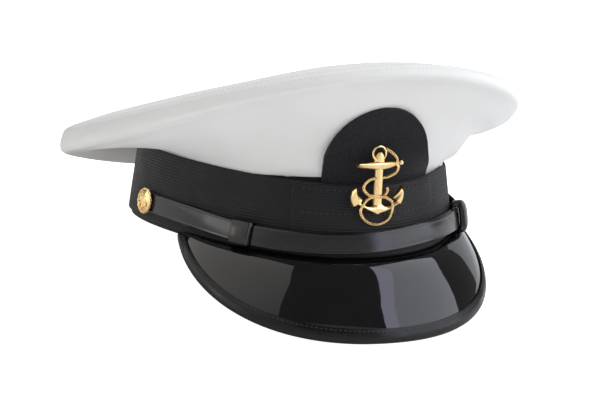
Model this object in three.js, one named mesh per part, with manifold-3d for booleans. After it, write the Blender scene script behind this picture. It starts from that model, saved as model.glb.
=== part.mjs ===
// Peaked cap: white crown, black ribbed band, felt badge patch, gilt anchor badge, chin strap, glossy peak.
// Millimetres, +Z up. The cap is drawn level, facing -Y with its origin in the middle of the head
// opening, and then leans back as it stands on a table: on the front of its peak and the rear of its rim.
// An angle round the head is 0 at the front and grows towards +X, the wearer's left.
import * as THREE from 'three';
import { mergeVertices } from 'three/addons/utils/BufferGeometryUtils.js';
import Module from 'manifold-3d';

const wasm = await Module();
wasm.setup();

// Clearance between neighbouring pieces
const GAP = 0.3;

// Outside of the band at its bottom edge
const HEAD = { halfWidth: 86, halfLength: 101 };
// dip is the height of the bottom edge at front, side and rear; flare narrows the band towards its top,
// whose edge has been pulled down a little on the wearer's left side, between the angles in low
const BAND = {
  height: 38,
  sag: 3.2,
  low: [40, 60, 100, 170],
  flare: 4.8,
  wall: 1.6,
  dip: [-9, 0, -4],
  steps: 60,
};
const RIM = { wall: 2.5, below: 2.3, round: 0.6, tuck: 7 };

// Crown: plan of its widest line, wall, top seam and domed top panel
const CROWN = {
  halfWidth: 123,
  halfLength: 136,
  centreY: 4.5,
  topZ: 58,
  wall: 2,
  tuck: 9,
  rise: 1.2,
  seamInset: 5,
  seamGap: 1,
  dome: 12,
  domePower: 3,
  steps: 56,
  wallSteps: 7,
  wallCrowding: 1.25,
  rollSteps: 3,
  topSteps: 4,
};
// Crown sections, evenly spaced from front to rear. rimZ is the height of the widest line, seamRise goes
// from it up to the top seam, spring is the angle at which the wall leaves the band and reach how long
// it holds that angle, droop is how far the wall sags under the widest line and pull how far inside it.
const CROWN_SECTIONS = [
  { place: 'front', rimZ: 88, seamRise: 6, spring: 77, reach: 0.72, droop: 6, pull: 14 },
  { place: 'front quarter', rimZ: 71, seamRise: 8, spring: 50, reach: 0.66, droop: 4, pull: 7 },
  { place: 'side', rimZ: 43.5, seamRise: 9.5, spring: 0, reach: 0.6, droop: 7, pull: 1 },
  { place: 'rear quarter', rimZ: 24.5, seamRise: 13, spring: -20, reach: 0.6, droop: 11, pull: 0 },
  { place: 'rear', rimZ: 14.5, seamRise: 15, spring: -20, reach: 0.6, droop: 19.5, pull: 0 },
];

// Soft fold in the crown's wall on the wearer's left, round an angle: the cloth swells just above the
// band and tucks in above that. at is the share of the way up the wall, spread its reach to each side.
const FOLD = {
  angle: 59,
  width: 26,
  from: 0.1,
  bends: [
    { depth: 2.8, at: 0.07, spread: 0.18 },
    { depth: -4.2, at: 0.29, spread: 0.21 },
  ],
};

// Felt patch in front of the crown; the crown's foot steps back to make room for it. The patch's own foot
// is sewn in a little towards the wearer's left, by footShift, and spreads by footSpread at each side.
const PATCH = {
  radius: 30.2,
  centreX: 2.2,
  centreRise: 11.2,
  wall: 1.8,
  proud: 2.2,
  footShift: 2.8,
  footSpread: 1.6,
  flatness: 0.6,
  flatRise: 12,
  columns: 18,
  rows: 6,
};
const FOOT = { inset: BAND.wall + GAP, behindPatch: 4.4, patchEnd: 29, plainFrom: 42 };

// Peak: its outline is width from the band at the front, dying away towards its ends
const PEAK = {
  width: 46.7,
  endAngle: 72,
  reach: 0.965,
  power: 3.15,
  taper: 1.06,
  frontDrop: 60,
  endDrop: 43,
  bow: 0.105,
  wall: 2.2,
  steps: 40,
  rows: 5,
};
const BINDING = { width: 6, wall: 0.8, edge: 1.3, chamfer: 0.4 };

// How far the soft edges that the cap stands on are pressed flat
const PRESS = 0.5;

// Chin strap in two halves, held by two keepers and two buttons
const STRAP = {
  width: 10.6,
  wall: 1.4,
  bulge: 0.4,
  step: 4,
  roundSteps: 4,
  pastButton: 5.5,
  lowerFrom: 56,
  lowerTo: 78,
};
const STRAP_LAYER = { button: GAP, inner: 1.6, outer: 3.3 };
// Height of the strap's middle above the band's bottom edge
const STRAP_HEIGHTS = [
  { angle: -95, height: 10.4 },
  { angle: -68, height: 9.9 },
  { angle: -45, height: 7.5 },
  { angle: -20, height: 7.4 },
  { angle: 0, height: 8.6 },
  { angle: 20, height: 10.2 },
  { angle: 40, height: 9.6 },
  { angle: 58, height: 8 },
  { angle: 95, height: 10.4 },
];
const BUTTON = {
  angle: 88.5,
  radius: 7,
  thickness: 2.6,
  postRadius: 1.5,
  postLength: 5.2,
  holeRadius: 1.9,
  relief: 0.26,
};
const KEEPER = {
  rightAngle: -45.4,
  leftAngle: 53,
  length: 12,
  height: 13.6,
  depth: 8.6,
  wall: 0.8,
  corner: 2,
};

// Badge: back of the casting in the cap's frame, and how far it leans forward
const BADGE = { x: 0.4, y: -100.75, z: 31.7, lean: 5, depth: 2.2, bevel: 0.4, rope: 0.75, ropeSteps: 3 };
// Badge's rope, from the ring down to the bow under the anchor: across, up and lift of the rope's middle
const ROPE_FALL = [
  { x: 2.6, y: 16.9, lift: 1.4 },
  { x: 5.3, y: 15.3, lift: 1.4 },
  { x: 7.7, y: 13.4, lift: 1.6 },
  { x: 8.7, y: 11.3, lift: 2.8 },
  { x: 8.5, y: 9.3, lift: 3.6 },
  { x: 10.3, y: 7, lift: 2.4 },
  { x: 9.9, y: 4.3, lift: 1.4 },
  { x: 7, y: 2.5, lift: 1.1 },
  { x: 3.4, y: 1.5, lift: 1.1 },
  { x: -3.8, y: 1, lift: 1.1 },
  { x: -7.3, y: -0.9, lift: 1.1 },
  { x: -8.6, y: -3.5, lift: 1.1 },
  { x: -7.3, y: -6.1, lift: 1.2 },
  { x: -4.1, y: -8.1, lift: 1.6 },
  { x: 0, y: -8.4, lift: 3.1 },
  { x: 3.6, y: -8.6, lift: 2.2 },
  { x: 6.6, y: -10.2, lift: 1.7 },
  { x: 8.2, y: -12, lift: 2.6 },
];
const ROPE_BOW = [
  { x: 8.2, y: -12, lift: 2.6 },
  { x: 8.7, y: -14.4, lift: 2.4 },
  { x: 8.9, y: -17.5, lift: 1.2 },
  { x: 7.3, y: -20.8, lift: 1.1 },
  { x: 4.1, y: -22.8, lift: 1.1 },
  { x: 0.1, y: -23.5, lift: 1.1 },
  { x: -4.5, y: -22.2, lift: 1.1 },
  { x: -8, y: -19.3, lift: 1.1 },
  { x: -9.4, y: -16.1, lift: 1.3 },
  { x: -9.4, y: -13.2, lift: 2.6 },
  { x: -7.3, y: -10.6, lift: 1.7 },
  { x: -4.5, y: -8.9, lift: 1.5 },
  { x: -2.1, y: -8.6, lift: 1.9 },
];
const ROPE_TAIL = [
  { x: 5, y: -3.7, lift: 1.1 },
  { x: 5.5, y: -5.2, lift: 1.1 },
  { x: 4.8, y: -6.8, lift: 1.2 },
  { x: 3.1, y: -8.2, lift: 1.6 },
];

const Rad = THREE.MathUtils.degToRad;
const V2 = (x, y) => new THREE.Vector2(x, y);
const V3 = (x, y, z) => new THREE.Vector3(x, y, z);

const MATERIALS = {
  cotton: new THREE.MeshStandardMaterial({ color: 0xe9e8e6, roughness: 0.85 }),
  braid: new THREE.MeshStandardMaterial({ color: 0x222224, roughness: 0.75 }),
  boundCloth: new THREE.MeshStandardMaterial({ color: 0x1b1c1e, roughness: 0.7 }),
  felt: new THREE.MeshStandardMaterial({ color: 0x242529, roughness: 0.95 }),
  patent: new THREE.MeshStandardMaterial({ color: 0x101114, roughness: 0.12 }),
  gilt: new THREE.MeshStandardMaterial({ color: 0xd8ae5a, roughness: 0.25, metalness: 1 }),
};

// Smooth curve round the head through values evenly spaced from front to rear, alike on both sides
function aroundHead(values, angle) {
  const last = values.length - 1;
  let sum = 0;
  for (let wave = 0; wave <= last; wave++) {
    let weight = 0;
    values.forEach((value, row) => {
      const share = row === 0 || row === last ? 0.5 : 1;
      weight += share * value * Math.cos(Math.PI * wave * row / last);
    });
    const doubled = wave === 0 || wave === last ? 1 : 2;
    sum += doubled * weight * Math.cos(wave * angle) / last;
  }
  return sum;
}

// Point on the band's flared wall, at a height above its bottom edge and a distance out from its face
function headPoint(angle, height, out) {
  const narrow = BAND.flare * height / BAND.height;
  const x = (HEAD.halfWidth - narrow + out) * Math.sin(angle);
  const y = -(HEAD.halfLength - narrow + out) * Math.cos(angle);
  return V3(x, y, aroundHead(BAND.dip, angle) + height);
}

// Height of the band's top edge above its bottom edge
function bandHeight(angle) {
  const [from, full, fading, gone] = BAND.low.map(Rad);
  const begun = THREE.MathUtils.smoothstep(angle, from, full);
  const ended = THREE.MathUtils.smoothstep(angle, fading, gone);
  return BAND.height - BAND.sag * (begun - ended);
}

// Level direction straight out of the band
function headNormal(angle) {
  return V3(HEAD.halfLength * Math.sin(angle), -HEAD.halfWidth * Math.cos(angle), 0).normalize();
}

// Angles evenly spaced right round the head
function roundAngles(steps) {
  return Array.from({ length: steps }, (_, step) => 2 * Math.PI * step / steps - Math.PI);
}

// Even fractions from one value to another, both ends included
function spaced(from, to, steps) {
  return Array.from({ length: steps + 1 }, (_, step) => THREE.MathUtils.lerp(from, to, step / steps));
}

// Mesh of points and triangles with shared corners joined and empty triangles left out
function joined(points, index) {
  const loose = new THREE.BufferGeometry().setFromPoints(points).setIndex(index);
  const merged = mergeVertices(loose, 1e-4);
  const corners = merged.index.array;
  const kept = [];
  for (let k = 0; k < corners.length; k += 3) {
    const [a, b, c] = corners.slice(k, k + 3);
    if (a !== b && b !== c && c !== a) kept.push(a, b, c);
  }
  return merged.setIndex(kept);
}

// Surface over a grid of columns round the head and rows going up, facing out
function surface(grid, ring) {
  const rows = grid[0].length;
  const index = [];
  const spans = ring ? grid.length : grid.length - 1;
  for (let column = 0; column < spans; column++) {
    const next = (column + 1) % grid.length;
    for (let row = 0; row < rows - 1; row++) {
      const [a, b] = [column * rows + row, next * rows + row];
      index.push(a, b, b + 1, a, b + 1, a + 1);
    }
  }
  return joined(grid.flat(), index);
}

// Directions straight out of a surface, found by place
function outwardFrom(face) {
  face.computeVertexNormals();
  const { position, normal } = face.attributes;
  const found = new Map();
  for (let k = 0; k < position.count; k++) {
    const place = new THREE.Vector3().fromBufferAttribute(position, k);
    found.set(place.toArray().join(' '), new THREE.Vector3().fromBufferAttribute(normal, k));
  }
  return (place) => found.get(place.toArray().join(' '));
}

// Wall of even thickness behind a surface, closed along the surface's open edges. A surface that is
// part of a larger whole takes its directions from the whole, so that its neighbour meets it squarely.
function shell(face, thickness, whole = face) {
  const outward = outwardFrom(whole);
  const count = face.attributes.position.count;
  const points = [];
  for (let k = 0; k < count; k++) {
    points.push(new THREE.Vector3().fromBufferAttribute(face.attributes.position, k));
  }
  for (let k = 0; k < count; k++) {
    points.push(points[k].clone().addScaledVector(outward(points[k]), -thickness));
  }
  const corners = Array.from(face.index.array);
  const index = [...corners];
  const edges = new Set();
  for (let k = 0; k < corners.length; k += 3) {
    const [a, b, c] = corners.slice(k, k + 3);
    index.push(count + a, count + c, count + b);
    [[a, b], [b, c], [c, a]].forEach(([from, to]) => edges.add(`${from} ${to}`));
  }
  edges.forEach((edge) => {
    const [from, to] = edge.split(' ').map(Number);
    if (!edges.has(`${to} ${from}`)) index.push(to, from, count + from, to, count + from, count + to);
  });
  return joined(points, index);
}

// Solid swept from closed profiles of (out, up) points, drawn anticlockwise, one for each station
function sweep(stations, profileAt, placeAt, ring) {
  const profiles = stations.map(profileAt);
  const count = profiles[0].length;
  const points = stations.flatMap((station, row) => profiles[row].map((point) => placeAt(station, point)));
  const index = [];
  const spans = ring ? stations.length : stations.length - 1;
  for (let row = 0; row < spans; row++) {
    const next = (row + 1) % stations.length;
    for (let k = 0; k < count; k++) {
      const turn = (k + 1) % count;
      const [a, b, c, d] = [row * count + k, next * count + k, next * count + turn, row * count + turn];
      index.push(a, b, c, a, c, d);
    }
  }
  if (!ring) {
    const end = (stations.length - 1) * count;
    THREE.ShapeUtils.triangulateShape(profiles[0], []).forEach(([a, b, c]) => index.push(a, b, c));
    THREE.ShapeUtils.triangulateShape(profiles.at(-1), [])
      .forEach(([a, b, c]) => index.push(end + a, end + c, end + b));
  }
  return joined(points, index);
}

function toSolid(geometry) {
  const bare = geometry.index ? geometry.clone() : mergeVertices(geometry);
  bare.deleteAttribute('normal');
  bare.deleteAttribute('uv');
  const merged = mergeVertices(bare, 1e-4);
  const vertProperties = new Float32Array(merged.attributes.position.array);
  const triVerts = new Uint32Array(merged.index.array);
  return new wasm.Manifold(new wasm.Mesh({ numProp: 3, vertProperties, triVerts }));
}

function fromSolid(solid) {
  const mesh = solid.getMesh();
  const geometry = new THREE.BufferGeometry();
  geometry.setAttribute('position', new THREE.BufferAttribute(mesh.vertProperties, 3));
  return geometry.setIndex(new THREE.BufferAttribute(mesh.triVerts, 1));
}

function fuse(geometries) {
  return fromSolid(geometries.map(toSolid).reduce((whole, piece) => whole.add(piece)));
}

function cut(geometry, tools) {
  return fromSolid(tools.map(toSolid).reduce((whole, tool) => whole.subtract(tool), toSolid(geometry)));
}

// Frame on the chin strap's middle line: X along the strap, Y up, Z straight out
function strapFrame(angle, out) {
  const small = 0.01;
  const at = (turn, rise) => headPoint(turn, strapHeight(turn) + rise, out);
  const along = at(angle + small, 0).sub(at(angle - small, 0)).normalize();
  const outward = along.clone().cross(at(angle, 1).sub(at(angle, 0))).normalize();
  const up = outward.clone().cross(along);
  return new THREE.Matrix4().makeBasis(along, up, outward).setPosition(at(angle, 0));
}

// BAND: ribbed braid
function bandGeometry() {
  const grid = roundAngles(BAND.steps).map((angle) => [
    headPoint(angle, 0, 0),
    headPoint(angle, bandHeight(angle), 0),
  ]);
  return cut(shell(surface(grid, true), BAND.wall), [-1, 1].map(buttonHole));
}

// BASE RIM: bound edge of the frame, inside the band and a little below it
function rimGeometry() {
  const face = -(BAND.wall + GAP);
  const back = face - RIM.wall;
  const profile = [
    V2(back, RIM.round - RIM.below),
    V2(back + RIM.round / 2, -RIM.below),
    V2(face - RIM.round, -RIM.below),
    V2(face, RIM.round - RIM.below),
    V2(face, RIM.tuck),
    V2(back, RIM.tuck),
  ];
  const place = (angle, point) => headPoint(angle, point.y, point.x);
  return sweep(roundAngles(BAND.steps), () => profile, place, true);
}

// CROWN: hollow cotton cover, from its foot behind the band over the rolled rim to the top panel
function crownValue(name, angle) {
  return aroundHead(CROWN_SECTIONS.map((section) => section[name]), angle);
}

function crownFoot(angle) {
  const away = THREE.MathUtils.smoothstep(Math.abs(angle), Rad(FOOT.patchEnd), Rad(FOOT.plainFrom));
  return -THREE.MathUtils.lerp(FOOT.behindPatch, FOOT.inset, away);
}

// How far the fold on the wearer's left moves the wall out, at a share of the way up it
function crownFold(angle, step) {
  const bell = (value, middle, width) => Math.exp(-(((value - middle) / width) ** 2));
  const loose = THREE.MathUtils.smoothstep(step, 0, FOLD.from);
  const near = loose * bell(angle, Rad(FOLD.angle), Rad(FOLD.width));
  return FOLD.bends.reduce((sum, { depth, at, spread }) => sum + near * depth * bell(step, at, spread), 0);
}

// Crown's wall from the band to its widest line: the line's point, and a point at each step up the wall
function crownWall(angle) {
  const base = headPoint(angle, bandHeight(angle) + CROWN.rise, crownFoot(angle));
  const edge = V3(
    CROWN.halfWidth * Math.sin(angle),
    CROWN.centreY - CROWN.halfLength * Math.cos(angle),
    crownValue('rimZ', angle),
  );
  const overhang = Math.hypot(edge.x - base.x, edge.y - base.y);
  const span = crownValue('reach', angle) * Math.hypot(overhang, edge.z - base.z);
  const spring = Rad(crownValue('spring', angle));
  const curve = new THREE.CubicBezierCurve(
    V2(0, base.z),
    V2(span * Math.cos(spring), base.z + span * Math.sin(spring)),
    V2(overhang - crownValue('pull', angle), edge.z - crownValue('droop', angle)),
    V2(overhang, edge.z),
  );
  const outward = V3(edge.x - base.x, edge.y - base.y, 0).normalize();
  const pointAt = (step) => {
    const along = curve.getTangent(step);
    const fold = V2(along.y, -along.x).multiplyScalar(crownFold(angle, step));
    const point = curve.getPoint(step).add(fold);
    return base.clone().setZ(point.y).addScaledVector(outward, point.x);
  };
  return { edge, pointAt };
}

function crownColumn(angle) {
  const { edge, pointAt } = crownWall(angle);
  const rise = crownValue('seamRise', angle);
  const inward = V3(-edge.x, CROWN.centreY - edge.y, 0);
  const radius = inward.length();
  inward.normalize();
  const roll = new THREE.CubicBezierCurve(
    V2(0, edge.z),
    V2(0, edge.z + 0.55 * rise),
    V2(0.55 * CROWN.seamInset, edge.z + rise - 0.12 * CROWN.seamInset),
    V2(CROWN.seamInset, edge.z + rise),
  );
  const side = [headPoint(angle, bandHeight(angle) - CROWN.tuck, crownFoot(angle))];
  spaced(0, 1, CROWN.wallSteps).forEach((step) => side.push(pointAt(step ** CROWN.wallCrowding)));
  spaced(0, 1, CROWN.rollSteps).slice(1).forEach((step) => {
    const point = roll.getPoint(step);
    side.push(edge.clone().setZ(point.y).addScaledVector(inward, point.x));
  });
  const top = spaced(CROWN.seamGap / radius, 1, CROWN.topSteps).map((step) => {
    const across = THREE.MathUtils.lerp(CROWN.seamInset, radius, step);
    const level = THREE.MathUtils.lerp(edge.z + rise, CROWN.topZ, step);
    const height = level + CROWN.dome * (1 - (1 - step) ** CROWN.domePower);
    return edge.clone().setZ(height).addScaledVector(inward, across);
  });
  return { side, top };
}

// The crown's side and its top panel, sewn together at the seam above the rolled rim
function crownGeometry(panel) {
  const columns = roundAngles(CROWN.steps).map(crownColumn);
  const whole = surface(columns.map(({ side, top }) => [...side, ...top]), true);
  return shell(surface(columns.map((column) => column[panel]), true), CROWN.wall, whole);
}

// BADGE PATCH: half-round felt, standing off the crown's front and tucked behind the band
function crownAtHeight(angle, z) {
  const { pointAt } = crownWall(angle);
  let low = 0;
  let high = 1;
  for (let halving = 0; halving < 24; halving++) {
    const middle = (low + high) / 2;
    if (pointAt(middle).z < z) low = middle;
    else high = middle;
  }
  return pointAt(low);
}

// Angle at which the crown's wall stands a distance across from the middle, at a height
function crownAngle(across, z) {
  if (Math.abs(across) < 1e-6) return 0;
  let angle = across / HEAD.halfWidth;
  for (let turn = 0; turn < 8; turn++) {
    angle = Math.asin(across * Math.sin(angle) / crownAtHeight(angle, z).x);
  }
  return angle;
}

// Point in front of the crown's wall, straight out from it
function beforeCrown(across, z, proud) {
  const angle = crownAngle(across, z);
  const small = 0.01;
  const along = crownAtHeight(angle + small, z).sub(crownAtHeight(angle - small, z));
  const up = crownAtHeight(angle, z + 1).sub(crownAtHeight(angle, z));
  return crownAtHeight(angle, z).addScaledVector(along.cross(up).normalize(), proud);
}

// Point on the patch, which is stiffer and flatter than the crown behind it from a low edge upwards
function patchPoint(across, z, low) {
  const wrapped = beforeCrown(across, z, PATCH.proud);
  const middle = beforeCrown(0, z, PATCH.proud);
  const flat = PATCH.flatness * THREE.MathUtils.smoothstep(z, low, low + PATCH.flatRise);
  return wrapped.setY(THREE.MathUtils.lerp(wrapped.y, middle.y, flat));
}

function patchColumn(turn) {
  const across = PATCH.centreX + PATCH.radius * Math.sin(turn);
  const aside = PATCH.footShift + PATCH.footSpread * Math.sin(turn);
  const bandTop = headPoint(0, BAND.height, 0).z;
  const middle = bandTop + PATCH.centreRise;
  const angle = Math.asin((across + aside) / headPoint(Math.PI / 2, BAND.height, -FOOT.inset).x);
  const foot = headPoint(angle, BAND.height - CROWN.tuck, -FOOT.inset);
  const low = headPoint(angle, BAND.height + CROWN.rise, 0).z;
  const high = middle + PATCH.radius * Math.cos(turn);
  const rows = spaced(low, high, PATCH.rows).map((z) => {
    const below = Math.max(0, (middle - z) / (middle - low));
    return patchPoint(across + aside * below ** 2, z, low);
  });
  return [foot, ...rows];
}

function patchGeometry() {
  const turns = spaced(-Math.PI / 2, Math.PI / 2, PATCH.columns);
  return shell(surface(turns.map(patchColumn), false), PATCH.wall);
}

// PEAK: curved stiff sheet, drawn as an (out, up) curve at each place along the band; bound is the step
// along the curve where its binding starts
function peakCurve(place) {
  const full = PEAK.width * (1 - Math.abs(place) ** PEAK.power) ** PEAK.taper;
  const width = full - GAP - BINDING.edge;
  const drop = Rad(THREE.MathUtils.lerp(PEAK.frontDrop, PEAK.endDrop, place * place));
  const end = V2(width * Math.cos(drop), -width * Math.sin(drop));
  const bulge = V2(Math.sin(drop), Math.cos(drop)).multiplyScalar(2 * PEAK.bow * width);
  const curve = new THREE.QuadraticBezierCurve(V2(0, 0), end.clone().multiplyScalar(0.5).add(bulge), end);
  const bound = 1 - Math.min(BINDING.width, 0.7 * width) / width;
  return { curve, bound };
}

// Point on the peak's upper face, moved along its normal
function peakPoint(curve, step, lift) {
  const along = curve.getTangent(step);
  return curve.getPoint(step).add(V2(-along.y, along.x).multiplyScalar(lift));
}

function peakPlace(place, point) {
  const angle = place * Rad(PEAK.endAngle);
  const start = headPoint(angle, -GAP, 0.1);
  return start.addScaledVector(headNormal(angle), point.x).add(V3(0, 0, point.y));
}

// Places along the peak, closer together towards its ends, where its width changes fastest
function peakStations() {
  const crowding = 1.5;
  const widest = PEAK.reach / Math.sin(crowding);
  return spaced(-1, 1, PEAK.steps).map((step) => widest * Math.sin(crowding * step));
}

function peakProfile(place) {
  const { curve, bound } = peakCurve(place);
  const rows = [...spaced(0, bound, PEAK.rows - 1), 1];
  const upper = rows.map((step) => peakPoint(curve, step, 0));
  const lower = rows.map((step) => peakPoint(curve, step, -PEAK.wall));
  return [...lower, ...upper.reverse()];
}

function peakGeometry() {
  return sweep(peakStations(), peakProfile, peakPlace, false);
}

// PEAK BINDING: strip folded round the peak's outer edge
function bindingProfile(place) {
  const { curve, bound } = peakCurve(place);
  const along = curve.getTangent(1);
  const beyond = (lift, reach) => peakPoint(curve, 1, lift).addScaledVector(along, reach);
  const inner = GAP;
  const outer = GAP + BINDING.wall;
  const edge = GAP + BINDING.edge;
  return [
    peakPoint(curve, bound, -PEAK.wall - outer),
    beyond(-PEAK.wall - outer, edge - BINDING.chamfer),
    beyond(-PEAK.wall - inner, edge),
    beyond(inner, edge),
    beyond(outer, edge - BINDING.chamfer),
    peakPoint(curve, bound, outer),
    peakPoint(curve, bound, inner),
    beyond(inner, inner),
    beyond(-PEAK.wall - inner, inner),
    peakPoint(curve, bound, -PEAK.wall - inner),
  ];
}

function bindingGeometry() {
  return sweep(peakStations(), bindingProfile, peakPlace, false);
}

// CHIN STRAP: two halves that overlap in front between the keepers
const heightCurve = new THREE.CubicInterpolant(
  STRAP_HEIGHTS.map((row) => Rad(row.angle)),
  STRAP_HEIGHTS.map((row) => row.height),
  1,
);

function strapHeight(angle) {
  return heightCurve.evaluate(angle)[0];
}

// Angles and half widths along one half, from its rounded button end to the far keeper; side is -1 or 1
function strapStations(side) {
  const radius = STRAP.width / 2;
  const buttonEnd = Rad(BUTTON.angle) + STRAP.pastButton / HEAD.halfLength;
  const straightFrom = buttonEnd - radius / HEAD.halfLength;
  const farKeeper = side > 0 ? -KEEPER.rightAngle : KEEPER.leftAngle;
  const keeperEnd = -Rad(farKeeper) - 0.4 * KEEPER.length / HEAD.halfLength;
  const rounded = spaced(0, Math.PI / 2, STRAP.roundSteps).map((turn) => ({
    angle: buttonEnd - (1 - Math.cos(turn)) * radius / HEAD.halfLength,
    half: radius * Math.max(Math.sin(turn), 0.2),
  }));
  const steps = Math.round((straightFrom - keeperEnd) / Rad(STRAP.step));
  const straight = spaced(straightFrom, keeperEnd, steps).slice(1).map((angle) => ({ angle, half: radius }));
  const stations = [...rounded, ...straight].map(({ angle, half }) => ({ angle: side * angle, half }));
  return side > 0 ? stations.reverse() : stations;
}

function strapGeometry(side, layer) {
  const grid = strapStations(side).map(({ angle, half }) => {
    const towardsButton = THREE.MathUtils.smoothstep(side * angle, Rad(STRAP.lowerFrom), Rad(STRAP.lowerTo));
    const out = STRAP.wall + THREE.MathUtils.lerp(layer, STRAP_LAYER.button, towardsButton);
    const middle = strapHeight(angle);
    return [
      headPoint(angle, middle - half, out),
      headPoint(angle, middle, out + STRAP.bulge),
      headPoint(angle, middle + half, out),
    ];
  });
  return cut(shell(surface(grid, false), STRAP.wall), [buttonHole(side)]);
}

// KEEPERS: leather loops round both halves of the strap
function keeperGeometry(angle) {
  const { depth, corner, wall } = KEEPER;
  const half = KEEPER.height / 2;
  const loop = new THREE.Shape();
  loop.moveTo(wall, -half);
  loop.lineTo(depth - corner, -half);
  loop.quadraticCurveTo(depth, -half, depth, 2 * corner - half);
  loop.lineTo(depth, half - 2 * corner);
  loop.quadraticCurveTo(depth, half, depth - corner, half);
  loop.lineTo(wall, half);
  loop.quadraticCurveTo(0, half, 0, half - wall);
  loop.lineTo(0, wall - half);
  loop.quadraticCurveTo(0, -half, wall, -half);
  const inside = STRAP_LAYER.outer + STRAP.wall + STRAP.bulge;
  const clear = STRAP.width / 2 + 2 * GAP;
  const opening = [V2(wall, -clear), V2(wall, clear), V2(inside, clear), V2(inside, -clear)];
  loop.holes.push(new THREE.Path(opening));
  const options = { depth: KEEPER.length, bevelEnabled: false, curveSegments: 4 };
  const solid = new THREE.ExtrudeGeometry(loop, options).translate(0, 0, -KEEPER.length / 2);
  return solid.rotateY(-Math.PI / 2).applyMatrix4(strapFrame(Rad(angle), GAP));
}

// BUTTONS: domed gilt buttons with a rolled edge, a small anchor in relief and a post through the band
function buttonFrame(side) {
  return strapFrame(side * Rad(BUTTON.angle), STRAP_LAYER.button + STRAP.wall + STRAP.bulge + GAP);
}

function buttonHole(side) {
  const hole = new THREE.CylinderGeometry(BUTTON.holeRadius, BUTTON.holeRadius, 4 * BUTTON.postLength, 12);
  return hole.rotateX(Math.PI / 2).applyMatrix4(buttonFrame(side));
}

function buttonGeometry(side) {
  const { radius, thickness, postRadius, postLength } = BUTTON;
  const profile = [
    V2(0, -postLength),
    V2(postRadius, -postLength),
    V2(postRadius, 0),
    V2(radius - 0.8, 0),
    V2(radius, 0.9),
    V2(radius - 0.2, 1.8),
    V2(radius - 0.9, 2),
    V2(radius - 1.4, 1.5),
    V2(radius - 3.5, 2.1),
    V2(0, thickness),
  ];
  const body = new THREE.LatheGeometry(profile, 20).rotateX(Math.PI / 2);
  const anchor = new THREE.ExtrudeGeometry(anchorShape(2), { depth: 1.6, bevelEnabled: false });
  anchor.scale(BUTTON.relief, BUTTON.relief, 1).translate(0, 0.9, thickness - 1.1);
  const stock = new THREE.BoxGeometry(4.6, 0.8, 1.6).translate(0, 2.6, thickness - 0.3);
  return fuse([body, anchor, stock]).applyMatrix4(buttonFrame(side));
}

// ANCHOR BADGE: one pierced casting of an anchor with a rope round it, drawn flat with its back at zero
function anchorShape(curveSteps) {
  const half = new THREE.Path();
  half.moveTo(0, -18.8);
  half.quadraticCurveTo(7.5, -16.4, 12.2, -12.4);
  half.lineTo(14.3, -13.8);
  half.quadraticCurveTo(17, -8.8, 13.6, -3.5);
  half.quadraticCurveTo(11.8, -7.4, 8.6, -9.2);
  half.lineTo(10.9, -10.6);
  half.quadraticCurveTo(6.5, -15.8, 2.6, -12);
  half.lineTo(2.5, -8.5);
  half.lineTo(2, 5);
  half.lineTo(2, 11);
  const right = half.getPoints(curveSteps);
  const left = right.slice(1).reverse().map((point) => V2(-point.x, point.y));
  return new THREE.Shape([...right, ...left]);
}

// Stock of the anchor, thickest in the middle
function stockShape() {
  const stock = new THREE.Shape();
  stock.absarc(-12.7, 8.6, 1.6, Math.PI / 2, 3 * Math.PI / 2, false);
  stock.quadraticCurveTo(-1, 3.6, 11, 7.9);
  stock.lineTo(11, 10.7);
  return stock;
}

function ropeGeometry(rows) {
  const path = new THREE.CatmullRomCurve3(rows.map((row) => V3(row.x, row.y, row.lift)));
  const section = new THREE.Shape().absarc(0, 0, BADGE.rope, 0, 2 * Math.PI, false);
  const ring = new THREE.Shape(section.getPoints(BADGE.ropeSteps).slice(1));
  const steps = Math.round(path.getLength() / 2.4);
  return new THREE.ExtrudeGeometry(ring, { steps, extrudePath: path, bevelEnabled: false });
}

function badgeGeometry() {
  const { depth, bevel, lean } = BADGE;
  const rounded = (thick) => ({
    depth: thick - 2 * bevel,
    bevelThickness: bevel,
    bevelSize: bevel,
    bevelOffset: -bevel,
    bevelSegments: 1,
    curveSegments: 5,
  });
  const body = new THREE.ExtrudeGeometry(anchorShape(5), rounded(depth)).translate(0, 0, bevel);
  const stock = new THREE.ExtrudeGeometry(stockShape(), rounded(depth + 1)).translate(0, 0, bevel);
  const knob = new THREE.SphereGeometry(1.6, 10, 7).translate(11.7, 9.2, 1.6);
  const eye = new THREE.Shape().absarc(-0.4, 12.6, 2.4, 0, 2 * Math.PI, false);
  eye.holes.push(new THREE.Path().absarc(-0.4, 13.1, 0.7, 0, 2 * Math.PI, true));
  const head = new THREE.ExtrudeGeometry(eye, rounded(depth)).translate(0, 0, bevel);
  const ring = new THREE.TorusGeometry(3.8, 0.6, 6, 18).translate(-0.9, 14.3, 1.2);
  const ropes = [ROPE_FALL, ROPE_BOW, ROPE_TAIL].map(ropeGeometry);
  const casting = fuse([body, stock, knob, head, ring, ...ropes]);
  return casting.rotateX(Math.PI / 2 + Rad(lean)).translate(BADGE.x, BADGE.y, BADGE.z);
}

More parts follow.
